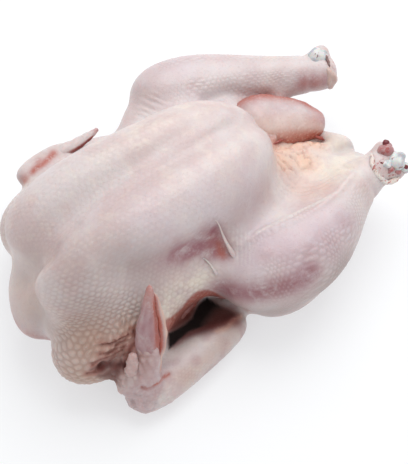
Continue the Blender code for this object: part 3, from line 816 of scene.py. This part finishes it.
# The blade of the folded wing, from its tip down to the wrist, with the flap of skin along its right side.
BLADE = [
    (-60.4, -60.4, 90, 1, 1.1), (-61.5, -62, 86.9, 2.3, 2.2), (-64, -64.8, 80.7, 3.7, 3),
    (-67, -68.4, 73.1, 5.2, 3.7), (-70.6, -72.5, 64.3, 7, 4.2), (-73.5, -76.1, 56.6, 7.9, 4.6),
    (-76.3, -80, 48.8, 7.9, 5.2), (-79.4, -84.4, 40.3, 7.4, 5.4), (-83, -88.6, 31, 7, 5), (-87, -90.5, 21, 6.5, 5),
]
FLAP = [
    (-60, -63.9, 85.6, 0.6, 0.6), (-59.9, -67, 81.2, 1.5, 1.1), (-61.4, -72.6, 72.6, 2.3, 1.7),
    (-63, -77.7, 64.4, 2.6, 1.9), (-65, -81.5, 57.3, 2.5, 1.9), (-68.2, -84.4, 50.2, 2.2, 1.9),
    (-71.8, -86.4, 44.2, 1.9, 1.8), (-74.2, -89, 38.2, 1.9, 1.8), (-77.4, -91.2, 31, 2, 2),
]
THUMB = [
    (-86, -78.4, 53.6, 1.5, 1.5), (-87, -79.4, 51.4, 2.9, 2.6), (-88.5, -81, 47.6, 3.6, 3.1),
    (-90.2, -82.6, 43.4, 4, 3.4), (-91.6, -82.8, 39.6, 4, 3), (-92.6, -82, 35, 3.4, 2.4),
]
# Edge of cut skin that hangs over the gap beside the folded wing.
SKIN_EDGE = [
    (-70, -68.5, 21, 2, 2.6), (-59, -65.5, 21, 2.6, 3.2), (-49, -62.8, 22, 2.9, 3.4), (-38.5, -60, 22.5, 2.7, 3.6),
    (-29.5, -58.6, 24, 2.4, 3.4), (-24, -57.4, 27, 2.1, 3), (-19, -57.2, 30.5, 1.9, 2.4),
    (-14.6, -59, 31.5, 1.9, 2.2), (-11, -64, 30.5, 1.8, 2.2), (-7, -70, 28.5, 1.4, 1.8),
]
FAR_BLADE = [
    (-14.2, 77.6, 56.6, 1.2, 1.2), (-17.5, 77.2, 55.6, 2, 1.8), (-23.5, 77.4, 53.8, 3.4, 2.8),
    (-33, 78, 51.6, 4.4, 3.4), (-44, 79.5, 50.2, 5, 4.2), (-54, 80.5, 48.6, 5.6, 5),
]
# The lobe of skin on the left flank, and the line at the bottom of the slit between it and the belly fat.
LOBE_SKIN = [
    (70, 25, 50.5, 14, 12), (78, 23, 51.5, 20.5, 16.3), (89, 18, 50, 22, 16), (104, 10.5, 47.5, 18.5, 14),
    (114, 3.5, 45.5, 13.5, 11), (121, -4.5, 43, 7.5, 7.5),
]
SLIT_LINE = [
    (76, -2.6, 58.6, 0.5, 0.5), (82, -2, 57.4, 0.9, 0.7), (89, -2, 55.2, 0.9, 0.7), (98, -2.2, 52.6, 0.8, 0.6),
    (105, -3, 50.4, 0.7, 0.6), (110, -6, 47.2, 0.9, 0.8), (114, -10, 44.4, 1.4, 1.2), (116, -12, 43.4, 1, 0.8),
]
# Thin strands where the skin is drawn from the thigh up to the breast.
STRANDS = [
    [
        (-3, -48.6, 98, 0.15, 0.15), (-1.4, -48.9, 94.4, 0.3, 0.3), (0.3, -49.5, 87.4, 0.5, 0.45),
        (1.4, -50.6, 80.1, 0.7, 0.6), (1.8, -53.6, 74.6, 0.95, 0.8), (2.4, -57.2, 69.9, 1.3, 1),
        (3.2, -61.2, 65.6, 1.9, 1.2), (4.6, -65, 61.5, 2.2, 1.2),
    ],
    [
        (-17.4, -52, 69.6, 0.15, 0.15), (-15, -55.3, 68.9, 0.4, 0.4), (-13.6, -59.2, 66.1, 0.6, 0.5),
        (-12.8, -62.4, 62.8, 0.9, 0.6), (-12.2, -65.2, 59.9, 1.2, 0.7),
    ],
]
# The seam down the far hock beside its gristle, painted dark with shade, and the rim of skin cut round the near hock.
FAR_SEAM = [
    (150, 41.6, 64.2, 0.5, 0.5), (151, 38.6, 62.6, 0.9, 0.8), (150.2, 34, 62.2, 1.1, 0.9), (149, 30, 61.4, 1, 0.8),
    (148, 27, 60.6, 0.5, 0.5),
]
HOCK_RIM = [
    (127, -48, 62, 1, 1), (124.6, -51.5, 64, 1.5, 1.3), (121.4, -56, 64.2, 1.7, 1.4), (119.8, -61, 62.4, 1.8, 1.5),
    (121.6, -66, 58, 1.8, 1.5), (126, -69, 53.4, 1.8, 1.5), (132, -69.4, 51.6, 1.7, 1.4),
    (138, -68.6, 51.6, 1.3, 1.1),
]


def waves(*rates):
    """A relief of sines: for each size, a and b given, size * sin(a s + b t)."""
    return lambda s, t: sum(size * np.sin(a * s + b * t) for size, a, b in rates)


def blade_relief(s, t):
    """A ridge and a groove along the blade, and fine wrinkles."""
    lengthwise = 0.06 * np.exp(-((t - 4.4) / 0.3) ** 2) - 0.1 * np.exp(-((t - 3.75) / 0.16) ** 2)
    fine = 0.035 * np.sin(58 * s + 3 * np.cos(t)) * np.sin(9 * t + 21 * s) + 0.025 * np.sin(31 * s - 3 * t)
    return lengthwise * np.sin(math.pi * s) + fine


def blade_tint(s, t):
    """Redder at the tip and along one edge, with pale streaks, and darkened with painted shade away from the tip."""
    tip = 1 - smooth_step(s, 0.05, 0.4)
    edge = np.exp(-((np.cos(t) + 0.85) / 0.3) ** 2) * smooth_step(s, 0.12, 0.3)
    streaks = 0.5 + 0.5 * np.sin(7 * t + 4 * np.sin(9 * s)) * np.sin(23 * s + 2 * t)
    pale = 0.22 * (1 - streaks) * (1 - tip) + 0.25 * tip
    red = np.clip(0.58 * tip + 0.85 * edge, 0, 1)
    return dict(flush=0.8 - 0.4 * tip, red=red, warm=0.3 * streaks, dusk=0.5 * (1 - tip), pale=pale)


def flap_relief(s, t):
    """Ripples along the flap that fade to both ends."""
    return 0.12 * np.sin(38 * s + t) * np.sin(math.pi * s)


def flap_tint(s, t):
    """Orange red on the inner side, with a yellow outer edge."""
    red = np.clip(0.95 * smooth_step(np.cos(t), -0.55, 0.35) + 0.15 * np.sin(23 * s), 0, 1)
    fat = 0.45 * smooth_step(-np.cos(t), 0.3, 0.9)
    return dict(flush=0.35 + 0.2 * np.sin(15 * s), warm=0.5, fat=fat, red=red)


def knobbly(s, t):
    """Crossed waves along and round the thumb."""
    return 0.08 * np.sin(34 * s + 3 * t) * np.sin(5 * t - 11 * s) + 0.06 * np.sin(19 * s - 2 * t)


def thumb_tint(s, t):
    return dict(flush=0.3, pale=0.3 * (0.5 + 0.5 * np.sin(21 * s + 3 * t)), warm=0.35, red=0.12)


# The cut edge hanging over the gap: red skin, with a little painted shade.
def edge_tint(s, t):
    red = np.clip(0.75 + 0.25 * np.sin(t * 3 + 9 * s), 0, 1)
    return dict(flush=0.55, red=red, warm=0.3, wine=0.15, gloom=0.3)


def far_blade_tint(s, t):
    """A red slit along the blade, and a flushed tip."""
    slit = smooth_step(np.cos(t), 0.72, 0.95) * smooth_step(s, 0.22, 0.34) * (1 - smooth_step(s, 0.62, 0.78))
    tip = 1 - smooth_step(s, 0.1, 0.34)
    red = np.clip(0.25 * tip + slit, 0, 1)
    return dict(flush=0.22 + 0.35 * tip, red=red, wine=0.7 * slit, pale=0.45 * (1 - tip))


def flank_relief(s, t):
    """Shallow waves along the lobe, with small dimples between them."""
    dimples = 0.012 * np.sin(57 * s + 4 * np.sin(3 * t)) * np.sin(15 * t + 9 * s)
    return 0.014 * np.sin(19 * s + 2 * t) + 0.01 * np.sin(41 * s - 5 * t) + dimples


def lobe_tint(s, t):
    """Rose on top, red along the outer side and underneath."""
    under = smooth_step(-np.cos(t), 0.55, 0.95)
    outer = smooth_step(np.cos(t), 0.15, 0.8) * (1 - 0.6 * smooth_step(s, 0.75, 0.95))
    end = smooth_step(s, 0.62, 0.92)
    rose = 0.26 + 0.18 * np.sin(11 * s + 2 * t) * np.sin(4 * t + 3 * s) + 0.22 * end
    red = np.clip(0.85 * outer + 0.85 * under + 0.18 * end, 0, 1)
    fat = np.clip(0.35 * smooth_step(-np.cos(t), -0.2, 0.6) + 0.35 * under, 0, 1)
    return dict(flush=rose, red=red, fat=fat)


def slit_tint(s, t):
    return dict(red=1, wine=0.25 + 0.35 * smooth_step(s, 0.75, 0.95) + 0.25 * (1 - smooth_step(s, 0.1, 0.3)))


def strand_tint(s, t):
    root = smooth_step(s, 0.6, 0.9)
    return dict(pale=0.6 - 0.35 * root, cream=0.3, flush=0.2, cool=0.6 * root)


def even_tint(**values):
    """The same tones all over."""
    return lambda s, t: values


# Each tube: its table, rings, points round, the way its sections face, its rounded ends, its relief and its tints.
TUBES = {
    "wing_blade": (BLADE, 90, 72, HAND_FACE, 0.06, blade_relief, blade_tint),
    "wing_flap": (FLAP, 70, 24, HAND_FACE, 0.08, flap_relief, flap_tint),
    "wing_thumb": (THUMB, 60, 36, HAND_FACE, 0.1, knobbly, thumb_tint),
    "skin_edge": (SKIN_EDGE, 120, 28, UP, 0.06, waves((0.12, 47, 1), (0.08, 83, -2)), edge_tint),
    "far_wing_blade": (FAR_BLADE, 70, 32, UP, 0.06, waves((0.05, 40, 2)), far_blade_tint),
    "flank_lobe": (LOBE_SKIN, 90, 80, UP, 0.1, flank_relief, lobe_tint),
    "slit_line": (SLIT_LINE, 90, 16, UP, 0.2, waves((0.18, 37, 1)), slit_tint),
    "strand_1": (STRANDS[0], 40, 14, UP, 0.1, waves((0, 0, 0)), strand_tint),
    "strand_2": (STRANDS[1], 40, 14, UP, 0.1, waves((0, 0, 0)), strand_tint),
}
HOCK_TUBES = {
    "far_hock_seam": (FAR_SEAM, 60, 16, UP, 0.1, waves((0.15, 29, 1)), even_tint(gloom=0.55, dusk=1)),
    "hock_rim": (
        HOCK_RIM, 90, 20, UP, 0.1, waves((0.12, 31, 2), (0.08, 67, 0)), even_tint(cream=0.6, pale=0.25, bloody=0.8)
    ),
}

# Bared gristle at the hocks: middle, then the half sizes along the leg, across it and upward, and how lumpy.
LUMPS = [
    ("hock_knob", (136.4, -51.6, 62), (5.8, 5.2, 5.2), 0.1, "pink"),
    ("hock_knob_tip", (138.6, -48.4, 65.6), (2.5, 2.3, 2.1), 0.05, "wine"),
    ("hock_cap", (139, -60, 57.8), (7.2, 6.8, 5.8), 0.14, "gristle"),
    ("hock_cap_end", (142, -66, 53.6), (4.2, 3.6, 4.2), 0.14, "gristle"),
    ("hock_cap_clot", (142.2, -67, 55.8), (2, 1.9, 1.9), 0.1, "wine"),
    ("hock_bit_1", (127.4, -57.8, 62), (1.5, 1.3, 1.2), 0.12, "wine"),
    ("hock_bit_2", (131.6, -63.6, 58), (3, 2.6, 2.2), 0.16, "pink"),
    ("hock_bit_3", (131, -60, 60.8), (3.6, 3.2, 2.4), 0.16, "gristle"),
    ("hock_bit_4", (136.4, -66.4, 55), (2.6, 2.2, 2.2), 0.16, "pink"),
    ("far_hock_cap", (146.4, 39.4, 58.4), (7.6, 7.2, 7.4), 0.08, "gristle"),
    ("far_hock_end", (146.4, 25.6, 50.8), (5.6, 7.4, 9.2), 0.1, "flesh"),
]
LUMP_TINTS = {
    "gristle": {},
    "pink": {"flush": 0.8, "red": 0.32, "bloody": 0.7},
    "flesh": {"flush": 0.2, "warm": 0.45, "cream": 0.5, "red": 0.05, "bloody": 0.15},
    "wine": {"wine": 1},
}


def lump(name, middle, sizes, rough):
    """A closed rounded lump: middle + sizes * direction(s, t) * (1 + rough * sum of sines of s and t)."""
    rings, around = 34, 44
    s = (np.arange(rings) + 1) / (rings + 1) * math.pi
    t = np.linspace(0, TURN, around, endpoint=False)
    s, t = np.meshgrid(s, t, indexing="ij")
    waves_round = np.sin(3 * s) * np.cos(2 * t + middle[1])
    swell = 1 + rough * (waves_round + 0.6 * np.sin(5 * s + middle[0]) * np.sin(3 * t) * np.sin(s))
    way = np.stack([np.cos(s), np.sin(s) * np.cos(t), np.sin(s) * np.sin(t)], axis=-1)
    points = np.array(middle) + (way * np.array(sizes)) * swell[..., None]
    first = np.array(middle) + np.array([sizes[0] * swell[0].mean(), 0, 0])
    last = np.array(middle) - np.array([sizes[0] * swell[-1].mean(), 0, 0])
    points = np.concatenate([points.reshape(-1, 3), [first, last]])
    return mesh_object(name, points * MM, grid_faces(rings, around))


def tube_pieces(tubes, shift, skin):
    """Wing tips, hanging skin edges, strands, lobe and seams, each a swept tube with its own tints."""
    for name, (rows, rings, around, up, cap, relief, tint) in tubes.items():
        piece, s, t = swept(name, rows, rings, around, up, cap, relief)
        tinted(piece, tint(s, t))
        placed(piece, shift, skin)


def hock_lumps(shift, skin, gristle):
    """The bared ends of both legs."""
    for name, middle, sizes, rough, kind in LUMPS:
        piece = lump(name, middle, sizes, rough)
        tinted(piece, LUMP_TINTS[kind])
        placed(piece, shift, gristle if kind == "gristle" else skin)


def feed(tree, slot, item):
    """Links a wire into a socket, or sets a constant."""
    if isinstance(item, Value):
        item = item.socket
    if isinstance(item, bpy.types.NodeSocket):
        tree.links.new(item, slot)
    elif item is not None:
        slot.default_value = item


class Value:
    """A number on a wire of a node tree. Arithmetic on it adds Math nodes."""

    def __init__(self, tree, socket):
        self.tree = tree
        self.socket = socket

    def math(self, operation, first, second=None):
        node = self.tree.nodes.new("ShaderNodeMath")
        node.operation = operation
        feed(self.tree, node.inputs[0], first)
        feed(self.tree, node.inputs[1], second)
        return Value(self.tree, node.outputs[0])

    def __add__(self, other):
        return self.math("ADD", self, other)

    def __radd__(self, other):
        return self.math("ADD", other, self)

    def __rsub__(self, other):
        return self.math("SUBTRACT", other, self)

    def __mul__(self, other):
        return self.math("MULTIPLY", self, other)

    def __rmul__(self, other):
        return self.math("MULTIPLY", other, self)

    def __pow__(self, other):
        return self.math("POWER", self, other)

    def cos(self):
        return self.math("COSINE", self)

    def most(self, other):
        return self.math("MAXIMUM", self, other)

    def least(self, other):
        return self.math("MINIMUM", self, other)


class Finish:
    """A material on one Principled shader, with short ways to add nodes."""

    def __init__(self, name, **constants):
        self.material = bpy.data.materials.new(name)
        self.material.use_nodes = True
        self.tree = self.material.node_tree
        self.shader = self.tree.nodes["Principled BSDF"]
        for socket, value in constants.items():
            self.shader.inputs[socket.replace("_", " ")].default_value = value

    def node(self, kind, settings=None, sockets=None):
        """A node of a type, its settings made first and then its sockets given values or links."""
        node = self.tree.nodes.new(kind)
        for key, value in (settings or {}).items():
            setattr(node, key, value)
        for key, value in (sockets or {}).items():
            feed(self.tree, node.inputs[key], value)
        return node

    def value(self, node, output):
        return Value(self.tree, node.outputs[output])

    def place(self):
        return self.node("ShaderNodeTexCoord").outputs["Object"]

    def attribute(self, name):
        return self.value(self.node("ShaderNodeAttribute", {"attribute_name": name}), "Fac")

    def noise(self, where, size, detail=2, rough=0.5, warp=0):
        """Noise with a grain of that size in millimetres, from 0 to 1."""
        sockets = {"Vector": where, "Scale": 1 / (size * MM), "Detail": detail, "Roughness": rough}
        return self.value(self.node("ShaderNodeTexNoise", None, {**sockets, "Distortion": warp}), "Fac")

    def ramp(self, value, low, high):
        """0 at low and 1 at high, smoothly."""
        sockets = {"Value": value, "From Min": low, "From Max": high}
        node = self.node("ShaderNodeMapRange", {"interpolation_type": "SMOOTHSTEP"}, sockets)
        return self.value(node, "Result")

    def blend(self, first, *layers):
        """The first colour, going to each layer's colour by its share, one layer over the other."""
        for share, second in layers:
            first = self.node("ShaderNodeMix", {"data_type": "RGBA"}, {0: share, 6: first, 7: second}).outputs[2]
        return first

    def bump(self, height, distance, strength=1, under=None):
        sockets = {"Height": height, "Distance": distance, "Strength": strength, "Normal": under}
        return self.node("ShaderNodeBump", None, sockets).outputs["Normal"]

    def into(self, socket, source):
        feed(self.tree, self.shader.inputs[socket], source)


# How much of the light a white part of the bird gives back.
ALBEDO = 0.76


def shade(red, green, blue):
    """A colour given in screen values from 0 to 255, as the linear values that nodes take."""
    part = np.array([red, green, blue]) / 255
    linear = ALBEDO * np.where(part <= 0.04045, part / 12.92, ((part + 0.055) / 1.055) ** 2.4)
    return (*linear.tolist(), 1)


LILAC = shade(231, 219, 219)
ROSE = shade(223, 202, 201)
CREAM = shade(254, 244, 229)
DOME_HIGHLIGHT_IVORY = shade(240, 230, 221)
PLUM = shade(174, 118, 128)
BEIGE = shade(206, 172, 154)
TAN = shade(160, 116, 98)
PEACH = shade(250, 208, 182)
EMBER = shade(190, 96, 78)
CHALK = shade(240, 232, 228)
COOL = shade(226, 210, 217)
# Mauve grey of the painted shade on surfaces turned from the light.
SHADE_MAUVE = shade(172, 149, 146)
# Near black of the shadow painted in the gap beside the wing, and brown of the shade painted in creases and round the
# gap.
SHADOW = shade(20, 5, 3)
SHADE_UMBER = shade(96, 44, 38)
WINE = shade(120, 34, 44)
BLOOD = shade(176, 62, 56)
GRISTLE = shade(232, 232, 230)
SLATE = shade(182, 188, 196)


def skin_finish():
    """Raw skin: lilac and rose flesh showing through, cream fat under it, moist, with a dome at each follicle; painted
    highlights on the domes, painted shade between them, in creases and in the gap by the wing.
    """
    finish = Finish("raw_skin", Subsurface_Weight=0.3, Subsurface_Scale=0.005, Roughness=0.42, Coat_Roughness=0.22)
    finish.shader.inputs["Subsurface Radius"].default_value = (1, 0.45, 0.34)
    finish.shader.inputs["IOR"].default_value = 1.42
    ramp, tone = finish.ramp, finish.attribute
    where = finish.place()
    chart = finish.node("ShaderNodeAttribute", {"attribute_name": "follicle"}).outputs["Vector"]
    cell = finish.node("ShaderNodeSeparateXYZ", None, {"Vector": chart})
    u, v, stand = (finish.value(cell, axis) for axis in "XYZ")
    lattice = (u * TURN).cos() * (v * TURN).cos() * 2 + (v * (2 * TURN)).cos()
    dome = (lattice * (2 / 9) + 1 / 3).most(0) ** DOME_POWER
    broad = finish.noise(where, 34, 2)
    mottle = finish.noise(where, 9, 4, 0.6, 0.6)
    speck = finish.noise(where, 1.6, 3, 0.6)
    clots = ramp(finish.noise(where, 2.6, 3, 0.6, 0.8), 0.53, 0.62)
    gloom, deep = tone("gloom"), tone("deep")
    colour = finish.blend(
        LILAC,
        (ramp(broad, 0.4, 0.62), ROSE),
        (ramp(mottle, 0.46, 0.7) * 0.26, CREAM),
        (tone("cream") * ramp(mottle, 0.2, 0.62), CREAM),
        (tone("cool"), COOL),
        (tone("warm") * 0.9, BEIGE),
        (tone("dusk"), SHADE_MAUVE),
        (tone("flush") * ramp(mottle + speck * 0.3, 0.24, 0.75), PLUM),
        (tone("fat"), PEACH),
        (tone("pale") * 0.8, CHALK),
        (tone("red") * ramp(speck, 0.15, 0.5), EMBER),
        # Follicle domes: pale tops, partly painted highlight, then painted shade in the valleys between them.
        (ramp(dome, 0.35, 0.9) * ramp(mottle, 0.3, 0.6) * (stand * 0.9).least(0.22), DOME_HIGHLIGHT_IVORY),
        (ramp(dome, 0.3, 0.02) * (stand * 0.9).least(0.34), TAN),
        (ramp(speck, 0.56, 0.74) * 0.16, TAN),
        (tone("wine"), WINE),
        (tone("bloody") * clots, BLOOD),
        # Brown painted shade in creases and round the gap, then near black painted shadow in the gap itself.
        (gloom * 0.9, SHADE_UMBER),
        (deep, SHADOW),
    )
    finish.into("Base Color", colour)
    # Where shadow and shade are painted, the skin is made rougher and loses its coat, so it shows no reflection there.
    sunk = deep.most(gloom * 0.85)
    finish.into("Roughness", 0.36 + finish.noise(where, 5, 3) * 0.22 + sunk * 0.5)
    finish.into("Coat Weight", (0.2 + ramp(broad, 0.4, 0.7) * 0.25) * (1 - sunk))
    pores = finish.noise(where, 0.9, 2, 0.6)
    grain = finish.noise(where, 3.2, 4, 0.62, 0.4)
    low = finish.bump(dome * stand, 0.0012)
    finish.into("Normal", finish.bump(grain + pores * 0.45, 0.0006, 0.6, low))
    return finish.material


def gristle_finish():
    """Bared joint gristle: bluish white and wet, with grey-blue patches and specks of blood."""
    finish = Finish("joint_gristle", Subsurface_Weight=0.4, Subsurface_Scale=0.004)
    finish.shader.inputs["Coat Weight"].default_value = 0.25
    finish.shader.inputs["Coat Roughness"].default_value = 0.25
    where = finish.place()
    patch = finish.noise(where, 7, 3, 0.55, 0.5)
    blood = finish.noise(where, 4.2, 3, 0.6, 0.8)
    spots = finish.ramp(blood, 0.58, 0.68) * 0.85
    finish.into("Base Color", finish.blend(GRISTLE, (finish.ramp(patch, 0.45, 0.68), SLATE), (spots, WINE)))
    finish.into("Roughness", 0.3 + patch * 0.25)
    finish.into("Normal", finish.bump(patch + blood * 0.5, 0.0008, 0.8))
    return finish.material


VIEW_AZIMUTH = math.radians(-34.3)
VIEW_HEIGHT = math.radians(60)
VIEW_RIGHT = (math.cos(VIEW_AZIMUTH), math.sin(VIEW_AZIMUTH), 0)
VIEW_BACK = (VIEW_RIGHT[1] * math.cos(VIEW_HEIGHT), -VIEW_RIGHT[0] * math.cos(VIEW_HEIGHT), math.sin(VIEW_HEIGHT))
VIEW_UP = tuple(np.cross(VIEW_BACK, VIEW_RIGHT))
VIEW_TARGET = (7.7, -20.7, 32.5)
VIEW_DISTANCE = 950
VIEW_LENS = 108

# The floor reaches this far each way, in metres, and glows a little, like a lit table.
FLOOR_REACH = 3
FLOOR_TINT = (0.42, 0.425, 0.43, 1)
FLOOR_GLOW = (0.97, 0.98, 1, 1)
FLOOR_GLOW_STRENGTH = 0.51
KEY_PLACE = (0.55, 0.45, 1.15)
KEY_POWER = 12.5
KEY_SIZE = 1.2
ROOM_LIGHT = 0.8


def floor_and_lights():
    """A pale floor, a broad light from behind on the right, and soft light all round."""
    corners = np.array([(-1, -1, 0), (1, -1, 0), (1, 1, 0), (-1, 1, 0)]) * FLOOR_REACH
    floor = mesh_object("floor", corners, [(0, 1, 2, 3)])
    paper = Finish("floor_paper", Roughness=0.9, Base_Color=FLOOR_TINT, Emission_Color=FLOOR_GLOW)
    paper.shader.inputs["Emission Strength"].default_value = FLOOR_GLOW_STRENGTH
    floor.data.materials.append(paper.material)
    light = bpy.data.lights.new("key", "AREA")
    light.energy = KEY_POWER
    light.size = KEY_SIZE
    aimed("key", light, np.array(KEY_PLACE), np.zeros(3))
    world = bpy.data.worlds.new("room")
    world.use_nodes = True
    world.node_tree.nodes["Background"].inputs["Color"].default_value = (1, 1, 1, 1)
    world.node_tree.nodes["Background"].inputs["Strength"].default_value = ROOM_LIGHT
    bpy.context.scene.world = world
    bpy.context.scene.view_settings.view_transform = "Standard"


def aimed(name, data, place, target):
    """A light or camera at a place, turned so that its -Z axis looks at the target and its Y axis stays up."""
    holder = bpy.data.objects.new(name, data)
    bpy.context.scene.collection.objects.link(holder)
    back = place - target
    back = back / np.linalg.norm(back)
    right = np.cross(UP, back)
    right = right / np.linalg.norm(right)
    turned = np.eye(4)
    turned[:3] = np.stack([right, np.cross(back, right), back, place], axis=1)
    holder.matrix_world = turned.T.tolist()
    return holder


def camera(shift):
    """The camera at the photo's angle, on the line of sight through its target."""
    lens = bpy.data.cameras.new("view")
    lens.lens = VIEW_LENS
    lens.clip_start = 0.01
    target = np.array(VIEW_TARGET) * MM + shift
    bpy.context.scene.camera = aimed("view", lens, target + np.array(VIEW_BACK) * VIEW_DISTANCE * MM, target)


def skin_piece():
    """The whole skin as one closed piece that stands for the solid."""
    points, raised, faces, chart, low, high = dressed_skin()
    solid_low, solid_high = (np.array(corner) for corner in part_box("chicken"))
    shift = 0.5 * (solid_low + solid_high) - 0.5 * (low + high)
    shift[2] = solid_high[2] - high[2]
    raised = raised + shift
    raised[:, 2] = np.maximum(raised[:, 2], 0)
    skin = mesh_object("skin", raised, faces)
    mesh = skin.data
    mesh.shade_smooth()
    tinted(skin, tones(points))
    chart = chart.astype(np.float32).reshape(-1)
    mesh.attributes.new("follicle", "FLOAT_VECTOR", "POINT").data.foreach_set("vector", chart)
    mesh.materials.append(skin_finish())
    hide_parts("chicken")
    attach(skin, "root")
    return shift, mesh.materials[0]


def main():
    shift, skin = skin_piece()
    tube_pieces(TUBES, shift, skin)
    hock_lumps(shift, skin, gristle_finish())
    tube_pieces(HOCK_TUBES, shift, skin)
    floor_and_lights()
    camera(shift)


main()
